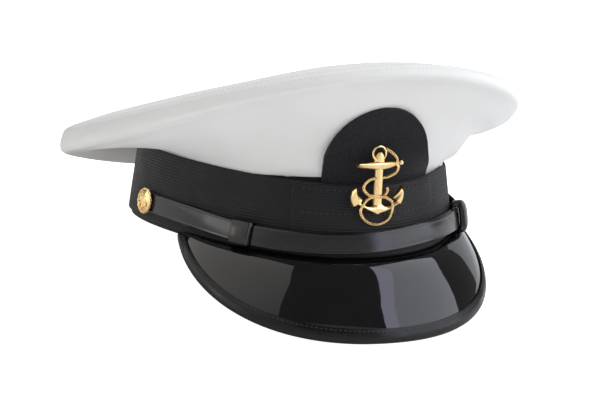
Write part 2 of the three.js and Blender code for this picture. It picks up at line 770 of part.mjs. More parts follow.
// The cap drawn level
const pieces = [
  { name: 'crown_side', material: 'cotton', geometry: crownGeometry('side') },
  { name: 'crown_top', material: 'cotton', geometry: crownGeometry('top') },
  { name: 'band', material: 'braid', geometry: bandGeometry() },
  { name: 'base_rim', material: 'boundCloth', geometry: rimGeometry(), pressed: true },
  { name: 'badge_patch', material: 'felt', geometry: patchGeometry() },
  { name: 'anchor_badge', material: 'gilt', geometry: badgeGeometry() },
  { name: 'strap_right', material: 'patent', geometry: strapGeometry(-1, STRAP_LAYER.inner) },
  { name: 'strap_left', material: 'patent', geometry: strapGeometry(1, STRAP_LAYER.outer) },
  { name: 'keeper_right', material: 'patent', geometry: keeperGeometry(KEEPER.rightAngle) },
  { name: 'keeper_left', material: 'patent', geometry: keeperGeometry(KEEPER.leftAngle) },
  { name: 'button_right', material: 'gilt', geometry: buttonGeometry(-1) },
  { name: 'button_left', material: 'gilt', geometry: buttonGeometry(1) },
  { name: 'peak', material: 'patent', geometry: peakGeometry() },
  { name: 'peak_binding', material: 'patent', geometry: bindingGeometry(), pressed: true },
];

// Lowest point of a named piece when the cap leans back
function lowest(name, lean) {
  const leaning = pieces.find((piece) => piece.name === name).geometry.clone().rotateX(-lean);
  leaning.computeBoundingBox();
  return leaning.boundingBox.min.z;
}

// Lean at which the peak's front and the rim's rear are equally low
function restingLean() {
  const footprint = 2 * HEAD.halfLength;
  let lean = 0;
  for (let turn = 0; turn < 12; turn++) {
    lean += (lowest('base_rim', lean) - lowest('peak_binding', lean)) / footprint;
  }
  return lean;
}

// Soft edges go flat where they touch the table
function pressFlat(geometry, ground) {
  const place = geometry.attributes.position;
  for (let k = 0; k < place.count; k++) place.setZ(k, Math.max(place.getZ(k), ground));
}

const lean = restingLean();
const ground = lowest('base_rim', lean) + PRESS;
const extent = new THREE.Box3();
pieces.forEach(({ geometry, pressed }) => {
  geometry.rotateX(-lean);
  if (pressed) pressFlat(geometry, ground);
  geometry.computeBoundingBox();
  extent.union(geometry.boundingBox);
});
const centre = extent.getCenter(V3(0, 0, 0));

const group = new THREE.Group();
group.name = 'peaked_cap';
pieces.forEach(({ name, material, geometry }) => {
  const mesh = new THREE.Mesh(geometry.translate(-centre.x, -centre.y, -ground), MATERIALS[material]);
  mesh.name = name;
  group.add(mesh);
});

export default group;
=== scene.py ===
# %% [markdown]
# # A peaked cap, dressed piece by piece
# The cap has a white cotton crown, a black ribbed band with a felt patch, a gilt anchor badge, a chin
# strap on two gilt buttons and a glossy black peak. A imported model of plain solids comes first. It fixes
# every size and place, and each piece below is made in the same frame, in metres, and stands for one solid.

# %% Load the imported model
import functools
import math

import bmesh
import bpy
from mathutils import Matrix, Vector, noise


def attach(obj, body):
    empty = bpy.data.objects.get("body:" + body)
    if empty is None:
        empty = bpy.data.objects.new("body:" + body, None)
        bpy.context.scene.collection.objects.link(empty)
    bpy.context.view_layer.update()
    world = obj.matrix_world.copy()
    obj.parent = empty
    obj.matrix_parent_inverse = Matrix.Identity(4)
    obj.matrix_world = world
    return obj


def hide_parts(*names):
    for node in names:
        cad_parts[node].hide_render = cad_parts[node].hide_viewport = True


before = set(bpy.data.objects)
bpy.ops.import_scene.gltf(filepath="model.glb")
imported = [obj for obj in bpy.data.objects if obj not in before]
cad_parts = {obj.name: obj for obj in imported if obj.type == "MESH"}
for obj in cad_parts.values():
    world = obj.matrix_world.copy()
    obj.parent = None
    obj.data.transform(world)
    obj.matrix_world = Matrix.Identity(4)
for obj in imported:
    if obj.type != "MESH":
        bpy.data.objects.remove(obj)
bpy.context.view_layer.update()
print("solids:", ", ".join(sorted(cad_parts)))

# %% [markdown]
# ## The camera
# A product picture of a cap is taken with a long lens from a little above, so that its lines stay calm.
# A camera can be aimed with a Track To constraint, but here its three axes are known, so they are written
# straight into its matrix: right, up and backwards are the columns.

# %% Camera
EYE = Vector((-0.64508, -1.21539, 0.49442))
LOOK = Vector((0.448886, 0.834666, -0.319114))
UPRIGHT = Vector((0.044541, 0.335772, 0.940890))

camera = bpy.data.objects.new("camera", bpy.data.cameras.new("camera"))
camera.data.lens = 157.4
camera.data.sensor_width = 36
axes = Matrix((LOOK.cross(UPRIGHT), UPRIGHT, -LOOK)).transposed()
camera.matrix_world = Matrix.Translation(EYE) @ axes.to_4x4()
bpy.context.collection.objects.link(camera)
bpy.context.scene.camera = camera
print("camera is", round(EYE.length, 3), "m from the cap")

# %% [markdown]
# ## Drawing level, standing tilted
# A cap is easiest to draw level, in millimetres, facing -Y, with an angle round the head that is 0 at the
# front and grows towards the wearer's left. On a table it leans back, on its peak and the rear of its rim.
# One matrix takes every level point to its place in the scene, so no object has to be turned or scaled.

# %% The level frame and the band's wall
LEAN = math.radians(11.2898)
STAND = Vector((0, -4.5533, 25.0184))
TO_SCENE = Matrix.Scale(0.001, 4) @ Matrix.Translation(STAND) @ Matrix.Rotation(-LEAN, 4, "X")

GAP = 0.3
HEAD_HALF_WIDTH = 86
HEAD_HALF_LENGTH = 101
BAND_HEIGHT = 38
BAND_FLARE = 4.8
BAND_WALL = 1.6
BAND_DIP = (-9, 0, -4)
BAND_SAG = 4.4
SAG_STARTS = (40, 60)
SAG_ENDS = (100, 170)


def around_head(values, angle):
    """Smooth value at an angle, through values evenly spaced from front to rear."""
    last = len(values) - 1
    total = 0
    for wave in range(last + 1):
        weight = 0
        for row, value in enumerate(values):
            share = 0.5 if row in (0, last) else 1
            weight += share * value * math.cos(math.pi * wave * row / last)
        doubled = 1 if wave in (0, last) else 2
        total += doubled * weight * math.cos(wave * angle) / last
    return total


def head_point(angle, height, out):
    """Point on the band's wall, at a height above its bottom edge and a distance out from its face."""
    narrow = BAND_FLARE * height / BAND_HEIGHT
    x = (HEAD_HALF_WIDTH - narrow + out) * math.sin(angle)
    y = -(HEAD_HALF_LENGTH - narrow + out) * math.cos(angle)
    return Vector((x, y, around_head(BAND_DIP, angle) + height))


def mix(low, high, share):
    return low + (high - low) * share


def smooth(value, low, high):
    """Share from 0 to 1 between two values, flat at both ends."""
    share = min(max((value - low) / (high - low), 0), 1)
    return share * share * (3 - 2 * share)


def band_height(angle):
    """Height of the band's top edge, pulled down a little on the wearer's left side."""
    turn = math.degrees(angle)
    return BAND_HEIGHT - BAND_SAG * (smooth(turn, *SAG_STARTS) - smooth(turn, *SAG_ENDS))


def bell(value, middle, width):
    return math.exp(-(((value - middle) / width) ** 2))


def bezier(points, share):
    """Point on a curve pulled by its middle points."""
    while len(points) > 1:
        points = [a.lerp(b, share) for a, b in zip(points, points[1:])]
    return points[0]


print("the front of the band stands at", [round(x, 4) for x in TO_SCENE @ head_point(0, 0, 0)])

# %% [markdown]
# ## Two ways to start a piece
# Cloth and leather come as flat sheets, so most pieces start as a flat grid whose corners are then moved
# to their places. A second grid, closed round into a tube, makes straps, bindings and ropes. The flat
# place of each corner is kept in a UV map, in metres, so that a weave later follows the cloth. Writing
# out lists of corners and faces would work too, but the grid operator already knows how faces join.

# %% Grid helpers
def bent_grid(columns, rows, place, flat, ring=False, tube=False):
    """Flat grid bent to shape: place takes shares along and up, flat is the sheet's size in mm."""
    bm = bmesh.new()
    threads = bm.loops.layers.uv.new("threads")
    bmesh.ops.create_grid(bm, x_segments=columns, y_segments=rows, size=0.5)
    for face in bm.faces:
        for loop in face.loops:
            along, up = loop.vert.co.x + 0.5, loop.vert.co.y + 0.5
            loop[threads].uv = (along * flat[0] / 1000, up * flat[1] / 1000)
    for vert in bm.verts:
        vert.co = TO_SCENE @ place(vert.co.x + 0.5, vert.co.y + 0.5)
    if ring or tube:
        bmesh.ops.remove_doubles(bm, verts=bm.verts, dist=1e-6)
    if tube and not ring:
        ends = [edge for edge in bm.edges if edge.is_boundary]
        bmesh.ops.holes_fill(bm, edges=ends, sides=0)
    bmesh.ops.recalc_face_normals(bm, faces=bm.faces)
    return bm


def face_away(bm, centre):
    """Turn an open sheet so that its faces look away from a level point."""
    middle = TO_SCENE @ Vector(centre)
    looks = sum(face.normal.dot(face.calc_center_median() - middle) for face in bm.faces)
    if looks < 0:
        bmesh.ops.reverse_faces(bm, faces=bm.faces)


def make_piece(bm, name, material, nodes=(), crease=None):
    """Object from a bmesh: smooth, in its place, riding on the cap's one body."""
    for face in bm.faces:
        face.smooth = True
    if crease:
        for edge in bm.edges:
            edge.smooth = edge.calc_face_angle(0) < math.radians(crease)
    mesh = bpy.data.meshes.new(name)
    bm.to_mesh(mesh)
    bm.free()
    mesh.materials.append(material)
    piece = bpy.data.objects.new(name, mesh)
    bpy.context.collection.objects.link(piece)
    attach(piece, "root")
    if nodes:
        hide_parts(*nodes)
    print(name, "has", len(mesh.polygons), "faces")
    return piece


def thicken(piece, wall, rounding=0):
    """Give a sheet its thickness, behind its face, and round its cut edges."""
    solid = piece.modifiers.new("wall", "SOLIDIFY")
    solid.thickness = wall / 1000
    solid.offset = -1
    if rounding:
        bevel = piece.modifiers.new("edges", "BEVEL")
        bevel.width = rounding / 1000
        bevel.segments = 3
        bevel.limit_method = "ANGLE"
        bevel.angle_limit = math.radians(50)


print("a flat sheet can now be bent, closed into a ring or a tube, and thickened")

# %% [markdown]
# ## Shared effects for the finishes
# Cotton, braid and binding are all woven, and every finish varies a little from place to place. Both
# effects are shader node groups, built once and placed in each material with its own values. The weave
# crosses two waves on the cloth's own UV map. The mottle is soft noise on Object coordinates.

# %% Node groups
def add_node(tree, kind, **settings):
    node = tree.nodes.new(kind)
    for name, value in settings.items():
        setattr(node, name, value)
    return node


def new_group(name, inputs, outputs):
    """Empty node group with named sockets; returns it with its input and output nodes."""
    group = bpy.data.node_groups.new(name, "ShaderNodeTree")
    for socket, kind in inputs:
        group.interface.new_socket(socket, in_out="INPUT", socket_type=kind)
    for socket, kind in outputs:
        group.interface.new_socket(socket, in_out="OUTPUT", socket_type=kind)
    return group, add_node(group, "NodeGroupInput"), add_node(group, "NodeGroupOutput")


def wave_along(group, start, across, slant, count):
    """Sine wave over across + slant * up, count times a metre."""
    join = group.links.new
    tilt = add_node(group, "ShaderNodeMath", operation="MULTIPLY_ADD")
    join(start.outputs["Y"], tilt.inputs[0])
    tilt.inputs[1].default_value = slant
    join(start.outputs[across], tilt.inputs[2])
    turns = add_node(group, "ShaderNodeMath", operation="MULTIPLY")
    join(tilt.outputs[0], turns.inputs[0])
    join(count, turns.inputs[1])
    wave = add_node(group, "ShaderNodeMath", operation="SINE")
    join(turns.outputs[0], wave.inputs[0])
    return wave.outputs[0]


def make_weave():
    """Height of a twill: slanting ribs crossed by finer threads."""
    group, start, end = new_group(
        "weave",
        [("Vector", "NodeSocketVector"), ("Threads", "NodeSocketFloat")],
        [("Height", "NodeSocketFloat")],
    )
    split = add_node(group, "ShaderNodeSeparateXYZ")
    group.links.new(start.outputs["Vector"], split.inputs[0])
    turns = add_node(group, "ShaderNodeMath", operation="MULTIPLY")
    group.links.new(start.outputs["Threads"], turns.inputs[0])
    turns.inputs[1].default_value = 2 * math.pi
    ribs = wave_along(group, split, "X", 1, turns.outputs[0])
    threads = wave_along(group, split, "X", -0.4, turns.outputs[0])
    both = add_node(group, "ShaderNodeMath", operation="MULTIPLY_ADD")
    group.links.new(threads, both.inputs[0])
    both.inputs[1].default_value = 0.5
    group.links.new(ribs, both.inputs[2])
    group.links.new(both.outputs[0], end.inputs["Height"])
    return group


def make_mottle():
    """Soft noise between a low and a high value; Scale is patches per metre."""
    inputs = ["Scale", "Low", "High"]
    group, start, end = new_group(
        "mottle",
        [("Vector", "NodeSocketVector")] + [(name, "NodeSocketFloat") for name in inputs],
        [("Value", "NodeSocketFloat")],
    )
    cloud = add_node(group, "ShaderNodeTexNoise")
    cloud.inputs["Detail"].default_value = 4
    group.links.new(start.outputs["Vector"], cloud.inputs["Vector"])
    group.links.new(start.outputs["Scale"], cloud.inputs["Scale"])
    spread = add_node(group, "ShaderNodeMapRange")
    spread.inputs["From Min"].default_value = 0.3
    spread.inputs["From Max"].default_value = 0.7
    group.links.new(cloud.outputs["Fac"], spread.inputs["Value"])
    group.links.new(start.outputs["Low"], spread.inputs["To Min"])
    group.links.new(start.outputs["High"], spread.inputs["To Max"])
    group.links.new(spread.outputs["Result"], end.inputs["Value"])
    return group


WEAVE = make_weave()
MOTTLE = make_mottle()
print("shared effects:", WEAVE.name, "and", MOTTLE.name)

# %% [markdown]
# ## The finishes
# Each finish starts from the Principled shader. What is the same all over is set on the shader's own
# sockets. What changes over the surface comes from the two groups: colour and roughness from the mottle,
# and small relief from the weave or from finer noise through a Bump node.

# %% Material helpers
def start_material(name, colour, roughness):
    material = bpy.data.materials.new(name)
    material.use_nodes = True
    shader = material.node_tree.nodes["Principled BSDF"]
    shader.inputs["Base Color"].default_value = (*colour, 1)
    shader.inputs["Roughness"].default_value = roughness
    return material, shader


def add_mottle(material, scale, low, high):
    """Place the mottle group in a material; returns its value."""
    tree = material.node_tree
    where = add_node(tree, "ShaderNodeTexCoord")
    mottle = add_node(tree, "ShaderNodeGroup", node_tree=MOTTLE)
    tree.links.new(where.outputs["Object"], mottle.inputs["Vector"])
    mottle.inputs["Scale"].default_value = scale
    mottle.inputs["Low"].default_value = low
    mottle.inputs["High"].default_value = high
    return mottle.outputs["Value"]


def vary_colour(material, shader, scale, first, second):
    """Base colour that drifts between two close colours."""
    tree = material.node_tree
    blend = add_node(tree, "ShaderNodeMix", data_type="RGBA")
    tree.links.new(add_mottle(material, scale, 0, 1), blend.inputs["Factor"])
    blend.inputs["A"].default_value = (*first, 1)
    blend.inputs["B"].default_value = (*second, 1)
    tree.links.new(blend.outputs["Result"], shader.inputs["Base Color"])


def vary_roughness(material, shader, scale, low, high):
    material.node_tree.links.new(add_mottle(material, scale, low, high), shader.inputs["Roughness"])


def add_relief(material, shader, height, depth, strength):
    """Bump from a height output; depth is in mm."""
    tree = material.node_tree
    bump = add_node(tree, "ShaderNodeBump")
    bump.inputs["Strength"].default_value = strength
    bump.inputs["Distance"].default_value = depth / 1000
    tree.links.new(height, bump.inputs["Height"])
    tree.links.new(bump.outputs["Normal"], shader.inputs["Normal"])


def woven_height(material, threads):
    """Place the weave group on the cloth's own UV map; returns its height."""
    tree = material.node_tree
    cloth = add_node(tree, "ShaderNodeUVMap", uv_map="threads")
    weave = add_node(tree, "ShaderNodeGroup", node_tree=WEAVE)
    tree.links.new(cloth.outputs["UV"], weave.inputs["Vector"])
    weave.inputs["Threads"].default_value = threads
    return weave.outputs["Height"]


print("finishes can vary in colour and roughness and have relief")

# %% Woven finishes
def woven_material(name, first, second, threads, depth, roughness, sheen):
    """Cloth between two close colours; threads are counted per metre, and depth is in mm."""
    material, shader = start_material(name, first, roughness)
    vary_colour(material, shader, 25, first, second)
    vary_roughness(material, shader, 60, roughness - 0.06, roughness + 0.06)
    add_relief(material, shader, woven_height(material, threads), depth, 0.5)
    shader.inputs["Sheen Weight"].default_value = sheen
    shader.inputs["Sheen Roughness"].default_value = 0.4
    shader.inputs["Specular IOR Level"].default_value = 0.2
    return material


cotton = woven_material(
    "white_cotton", (0.87, 0.87, 0.868), (0.84, 0.838, 0.832), 1100, 0.05, 0.85, 0.1
)
braid = woven_material(
    "black_braid", (0.009, 0.009, 0.0105), (0.014, 0.014, 0.0155), 1300, 0.08, 0.6, 0.09
)
binding = woven_material(
    "black_binding", (0.007, 0.007, 0.009), (0.012, 0.012, 0.013), 1200, 0.06, 0.6, 0.05
)
thread_white = woven_material(
    "white_thread", (0.8, 0.8, 0.79), (0.72, 0.72, 0.71), 4000, 0.03, 0.7, 0.1
)
thread_black = woven_material(
    "black_thread", (0.028, 0.028, 0.03), (0.05, 0.05, 0.052), 4000, 0.03, 0.5, 0.1
)
print("woven finishes:", cotton.name, braid.name, binding.name)

# %% Felt, patent leather and gilt
felt, felt_shader = start_material("black_felt", (0.014, 0.014, 0.017), 0.95)
vary_colour(felt, felt_shader, 900, (0.010, 0.010, 0.013), (0.022, 0.022, 0.026))
add_relief(felt, felt_shader, add_mottle(felt, 1500, 0, 1), 0.25, 0.6)
felt_shader.inputs["Sheen Weight"].default_value = 0.1
felt_shader.inputs["Specular IOR Level"].default_value = 0.1


def patent_material(name, roughness, shine=0.5):
    """Lacquered leather: dark, mirror-like, with the faint waviness of a thick varnish."""
    material, shader = start_material(name, (0.004, 0.004, 0.005), roughness)
    vary_colour(material, shader, 40, (0.003, 0.003, 0.004), (0.005, 0.005, 0.006))
    vary_roughness(material, shader, 90, roughness * 0.7, roughness * 1.3)
    add_relief(material, shader, add_mottle(material, 220, 0, 1), 0.02, 0.15)
    shader.inputs["IOR"].default_value = 1.5
    shader.inputs["Specular IOR Level"].default_value = shine
    return material


patent = patent_material("peak_patent", 0.035)
strap_patent = patent_material("strap_patent", 0.22)
edge_patent = patent_material("edge_patent", 0.3, 0.27)

gilt, gilt_shader = start_material("gilt", (0.88, 0.66, 0.32), 0.24)
vary_colour(gilt, gilt_shader, 300, (0.9, 0.67, 0.34), (0.8, 0.57, 0.26))
vary_roughness(gilt, gilt_shader, 500, 0.14, 0.26)
add_relief(gilt, gilt_shader, add_mottle(gilt, 900, 0, 1), 0.04, 0.25)
gilt_shader.inputs["Metallic"].default_value = 1
print("plain finishes:", felt.name, patent.name, strap_patent.name, gilt.name)

# %% [markdown]
# ## The crown's shape
# The white cover is cotton pulled over a springy hoop. Its wall leaves the band steeply in front and
# almost level behind, swells out to the hoop, rolls over it and meets the top panel at a sewn seam.
# Five sections from front to rear say how, and a smooth curve round the head joins them. A cloth
# simulation could find such a shape, but the hoop and the stiff front hold it so firmly that drawing
# the sections gives the real outline more closely.

# %% Crown sections
CROWN_HALF_WIDTH = 123
CROWN_HALF_LENGTH = 136
CROWN_CENTRE_Y = 4.5
CROWN_WALL = 2
CROWN_TUCK = 9
CROWN_RISE = 1.2
BEHIND_PATCH = 4.4
PATCH_SIDES = (29, 42)
SEAM_INSET = 5
TOP_Z = 58
DOME = 12
CROWN_SECTIONS = {
    "rim_z": (88, 71, 43.5, 24.5, 14.5),
    "seam_rise": (6, 8, 9.5, 13, 15),
    "spring": (77, 50, 0, -20, -20),
    "reach": (0.72, 0.66, 0.6, 0.6, 0.6),
    "droop": (6, 4, 7, 11, 19.5),
    "pull": (14, 7, 1, 0, 0),
    "crease": (0, 0.2, 0.5, 0.5, 0.3),
}
FOLD_SWELL = {"depth": 2.8, "turn": 63, "spread": 12, "share": 0.06, "reach": 0.14}
FOLD_TUCK = {"depth": 4, "turn": 59, "spread": 26, "share": 0.29, "reach": 0.2}


def crown_foot(angle):
    """How far behind the band's face the wall starts: further where the patch stands in front of it."""
    beside_patch = smooth(abs(math.degrees(angle)), *PATCH_SIDES)
    return -mix(BEHIND_PATCH, BAND_WALL + GAP, beside_patch)


@functools.lru_cache(maxsize=None)
def crown_section(angle):
    """The wall's and the roll's curves at an angle, as (out, up) points from the wall's foot."""
    size = {name: around_head(row, angle) for name, row in CROWN_SECTIONS.items()}
    base = head_point(angle, band_height(angle) + CROWN_RISE, crown_foot(angle))
    edge = Vector((
        CROWN_HALF_WIDTH * math.sin(angle),
        CROWN_CENTRE_Y - CROWN_HALF_LENGTH * math.cos(angle),
        size["rim_z"],
    ))
    outward = Vector((edge.x - base.x, edge.y - base.y, 0))
    overhang = outward.length
    span = size["reach"] * math.hypot(overhang, edge.z - base.z)
    spring = math.radians(size["spring"])
    wall = [
        Vector((0, base.z)),
        Vector((span * math.cos(spring), base.z + span * math.sin(spring))),
        Vector((overhang - size["pull"], edge.z - size["droop"])),
        Vector((overhang, edge.z)),
    ]
    return size, base, edge, outward.normalized(), wall


def soft_bump(form, turn, share):
    """Height of a soft bump, at degrees round the head and a share of the way up the wall."""
    beside = bell(turn, form["turn"], form["spread"])
    return form["depth"] * beside * bell(share, form["share"], form["reach"])


def crown_fold(angle, share):
    """Soft fold on the wearer's left: the cloth swells above the band and tucks in above that."""
    turn = math.degrees(angle)
    fold = soft_bump(FOLD_SWELL, turn, share) - soft_bump(FOLD_TUCK, turn, share)
    return fold * smooth(share, 0, 0.1)


def wall_curve(angle, share, lift=0):
    """(out, up) on the wall, from its foot to its widest line, moved straight out of it by lift."""
    wall = crown_section(angle)[4]
    along = (bezier(wall, min(share + 0.01, 1)) - bezier(wall, max(share - 0.01, 0))).normalized()
    return bezier(wall, share) + (lift + crown_fold(angle, share)) * Vector((along.y, -along.x))


def crown_wall(angle, share, lift=0):
    """Point up the wall, with the soft crease under the hoop."""
    size, base, edge, outward, wall = crown_section(angle)
    below = (wall[3] - bezier(wall, share)).length
    dent = lift - size["crease"] * bell(below, 11, 4) + 0.3 * bell(below, 2, 5)
    place = wall_curve(angle, share, dent)
    return Vector((base.x, base.y, place.y)) + outward * place.x


rim_heights = CROWN_SECTIONS["rim_z"]
print("the crown's widest line rises", rim_heights[0] - rim_heights[-1], "mm from rear to front")

# %% [markdown]
# ## The crown's side
# The side panel starts behind the band, goes up the wall and over the roll. Near the seam its edge turns
# down into the groove where the two panels are sewn. Low soft noise keeps the cloth from looking moulded.
# The hoop gives no sharp edge, so a few passes of smoothing round the bend over it. In a studio the lacquer
# below shows dark screens and no white cotton, so the crown is hidden from mirror rays alone.

# %% Crown side
WALL_FROM = 0.08
WALL_TO = 0.74
SEAM_GROOVE = 0.7
CROWN_SIDE_FLAT = (760, 95)
BEND_FROM = 0.6
BEND_TO = 0.86
BEND_PASSES = 24


def soft_wave(point, size, depth):
    """Slow unevenness of pulled cloth."""
    return depth * noise.noise(point / size)


def crown_side_place(along, up):
    """Point on the side panel: the tuck behind the band, the wall, then the roll up to the seam."""
    angle = math.pi * (2 * along - 1)
    size, base, edge, outward, wall = crown_section(angle)
    if up <= WALL_FROM:
        height = band_height(angle) + mix(-CROWN_TUCK, CROWN_RISE, up / WALL_FROM)
        return head_point(angle, height, crown_foot(angle))
    if up <= WALL_TO:
        share = (up - WALL_FROM) / (WALL_TO - WALL_FROM)
        place = crown_wall(angle, share)
        return place + outward * soft_wave(place, 38, 0.9) * math.sin(math.pi * share)
    share = (up - WALL_TO) / (1 - WALL_TO)
    rise = size["seam_rise"]
    roll = [
        Vector((0, edge.z)),
        Vector((0, edge.z + 0.55 * rise)),
        Vector((0.55 * SEAM_INSET, edge.z + rise - 0.12 * SEAM_INSET)),
        Vector((SEAM_INSET, edge.z + rise)),
    ]
    place = bezier(roll, share)
    inward = Vector((-edge.x, CROWN_CENTRE_Y - edge.y, 0)).normalized()
    swell = 0.3 * bell((place - roll[0]).length, 2, 5)
    groove = SEAM_GROOVE * smooth(share, 0.9, 1)
    return Vector((edge.x, edge.y, place.y - groove)) + inward * (place.x - swell)


def round_over(bm, low, high, passes):
    """Soften the bend between two shares of the way up a sheet."""
    threads = bm.loops.layers.uv.active
    soft = {
        loop.vert
        for face in bm.faces
        for loop in face.loops
        if low < loop[threads].uv.y / CROWN_SIDE_FLAT[1] * 1000 < high
    }
    for _ in range(passes):
        bmesh.ops.smooth_vert(
            bm, verts=list(soft), factor=0.5, use_axis_x=True, use_axis_y=True, use_axis_z=True
        )


bm = bent_grid(288, 84, crown_side_place, CROWN_SIDE_FLAT, ring=True)
face_away(bm, (0, CROWN_CENTRE_Y, TOP_Z))
round_over(bm, BEND_FROM, BEND_TO, BEND_PASSES)
crown_side = make_piece(bm, "cotton_side", cotton, ["crown_side"])
crown_side.visible_glossy = False
thicken(crown_side, CROWN_WALL)

# %% [markdown]
# ## The crown's top panel
# The top is one oval of the same cotton, a little domed by the hoop's tension. It is drawn from the seam
# to the middle, with rows set closer near the seam, where it bends most.

# %% Crown top
def crown_top_place(along, up):
    """Point on the top panel, from the seam in to the middle."""
    angle = math.pi * (2 * along - 1)
    size, base, edge, outward, wall = crown_section(angle)
    inward = Vector((-edge.x, CROWN_CENTRE_Y - edge.y, 0))
    radius = inward.length
    inward.normalize()
    share = up**1.6
    across = mix(SEAM_INSET, radius, share)
    level = mix(edge.z + size["seam_rise"], TOP_Z, share)
    groove = SEAM_GROOVE * (1 - smooth(share * radius, 0, 0.9))
    height = level + DOME * (1 - (1 - share) ** 3) - groove
    place = Vector((edge.x, edge.y, height)) + inward * across
    place.z += soft_wave(place, 60, 1.2) * smooth(share, 0.02, 0.25)
    return place


bm = bent_grid(288, 60, crown_top_place, (760, 130), ring=True)
face_away(bm, (0, CROWN_CENTRE_Y, -300))
crown_top = make_piece(bm, "cotton_top", cotton, ["crown_top"])
crown_top.visible_glossy = False
thicken(crown_top, CROWN_WALL)

# %% [markdown]
# ## Sewing
# A row of machine stitches is a row of short thread loops sunk into the cloth. A texture could fake them,
# but they catch light as small rounded shapes, so each is a stretched ball of a few faces, set along a
# line of points. The line gives each stitch its direction, and the cloth's outward direction its seat.

# %% Stitch helper and the crown's double seam
def sew(name, line, outs, spacing, length, radius, material):
    """Stitches along a line of level points; outs gives the way out of the cloth at each point."""
    bm = bmesh.new()
    bm.loops.layers.uv.new("threads")
    walked = 0
    for a, b, out in zip(line, line[1:], outs):
        step = (b - a).length
        while walked < step:
            along = (b - a).normalized()
            side = out.cross(along).normalized()
            axes = Matrix((along, side, along.cross(side))).transposed().to_4x4()
            place = Matrix.Translation(a + along * walked)
            shape = Matrix.Diagonal((length / 2, radius, radius, 1))
            bmesh.ops.create_icosphere(
                bm, subdivisions=1, radius=1, matrix=TO_SCENE @ place @ axes @ shape
            )
            walked += spacing
        walked -= step
    return make_piece(bm, name, material)


def seam_line(inset):
    """Line round the crown's top, a distance in from the seam (or out of it, if negative)."""
    steps = 360
    line = []
    for step in range(steps + 1):
        angle = 2 * math.pi * step / steps
        if inset > 0:
            radius = (Vector((0, CROWN_CENTRE_Y, 0)) - crown_section(angle)[2]).xy.length
            line.append(crown_top_place(angle / (2 * math.pi), ((inset / radius) ** (1 / 1.6))))
        else:
            line.append(crown_side_place(angle / (2 * math.pi), 1 + inset * 0.05))
    return line


for row, inset in (("top", 2.2), ("side", -2.2)):
    line = seam_line(inset)
    up = [Vector((0, 0, 1))] * len(line)
    sew(f"seam_stitches_{row}", line, up, 2.6, 1.9, 0.22, thread_white)

# %% [markdown]
# ## The ribbed band
# The band is woven braid with fine level ribs. The ribs show in every grazing light, so they are real
# shape: a grid with enough rows to draw each rib as a low ridge. Its back is plain, so the sheet gets its
# thickness from a Solidify modifier on a second, flat sheet behind it instead of doubling the ribs.

# %% Band
RIBS = 24
RIB_DEPTH = 0.32


def rib(share):
    """How far a rib stands out at a share of the way up; the two woven edges are rounder."""
    ridge = abs(math.sin(math.pi * RIBS * share))
    edge = BAND_HEIGHT * min(share, 1 - share)
    return RIB_DEPTH * (ridge - 1) - 0.7 * bell(edge, 0, 0.5)


def band_place(along, up):
    angle = math.pi * (2 * along - 1)
    return head_point(angle, band_height(angle) * up, rib(up))


bm = bent_grid(216, RIBS * 6, band_place, (590, 38), ring=True)
face_away(bm, (0, 0, 20))
make_piece(bm, "ribbed_band", braid, ["band"])

# %% [markdown]
# The band's back is a plain tape. It stands a little inside the ribbed face and closes the band's wall.

# %% Band tape
def tape_place(along, up):
    angle = math.pi * (2 * along - 1)
    height = mix(0.15, band_height(angle) - 0.15, up)
    return head_point(angle, height, -0.75)


bm = bent_grid(144, 6, tape_place, (590, 38), ring=True)
face_away(bm, (0, 0, 20))
tape = make_piece(bm, "band_tape", binding)
thicken(tape, BAND_WALL - 0.75, 0.2)

# %% [markdown]
# ## The front panel of the band
# In front, a second layer of the same braid carries the badge. It ends in a folded edge on each side and
# is held by two rows of black stitches.

# %% Front panel
PANEL_END = math.radians(30)
PANEL_PROUD = 0.8


def panel_place(along, up):
    angle = mix(-PANEL_END, PANEL_END, along)
    height = mix(0.4, BAND_HEIGHT - 0.4, up)
    from_end = (1 - abs(2 * along - 1)) * PANEL_END * HEAD_HALF_LENGTH
    folded = PANEL_PROUD * smooth(from_end, 0, 1.2)
    return head_point(angle, height, rib(up) + folded + 0.05)


bm = bent_grid(96, RIBS * 6, panel_place, (100, 38))
face_away(bm, (0, 0, 20))
panel = make_piece(bm, "front_panel", braid)
thicken(panel, 0.4)


def panel_line(height, start, end):
    """Level line of points on the front panel."""
    angles = [math.radians(mix(start, end, step / 60)) for step in range(61)]
    return [head_point(angle, height, PANEL_PROUD - 0.05) for angle in angles]


for row, height in (("upper", 34.5), ("lower", 22.5)):
    line = panel_line(height, -26, 26)
    outs = [Vector((point.x, point.y, 0)).normalized() for point in line]
    sew(f"panel_stitches_{row}", line, outs, 3.2, 2, 0.32, thread_black)

# %% [markdown]
# ## The bound rim
# Under the braid the frame's lower edge shows as a narrow bound strip. It is a closed tube of cloth: a
# grid wrapped round a rounded section and run right round the head. Where the cap stands on the table the
# soft edge is pressed flat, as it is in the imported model.

# %% Bound rim
RIM_WALL = 2.5
RIM_BELOW = 2.3
RIM_TUCK = 7


def rounded_box(share, half_wide, half_high, squareness):
    """Point on a rounded box's outline, as (across, up) from its middle."""
    turn = 2 * math.pi * share
    c, s = math.cos(turn), math.sin(turn)
    across = half_wide * math.copysign(abs(c) ** (2 / squareness), c)
    high = half_high * math.copysign(abs(s) ** (2 / squareness), s)
    return across, high


def rim_place(along, up):
    angle = math.pi * (2 * along - 1)
    across, high = rounded_box(up, RIM_WALL / 2, (RIM_BELOW + RIM_TUCK) / 2, 7)
    out = -(BAND_WALL + GAP) - RIM_WALL / 2 + across
    return head_point(angle, (RIM_TUCK - RIM_BELOW) / 2 + high, out)


def press_flat(bm):
    """Soft edges go flat where they touch the table."""
    for vert in bm.verts:
        vert.co.z = max(vert.co.z, 0)


bm = bent_grid(180, 32, rim_place, (580, 24), ring=True)
press_flat(bm)
make_piece(bm, "bound_rim", binding, ["base_rim"])

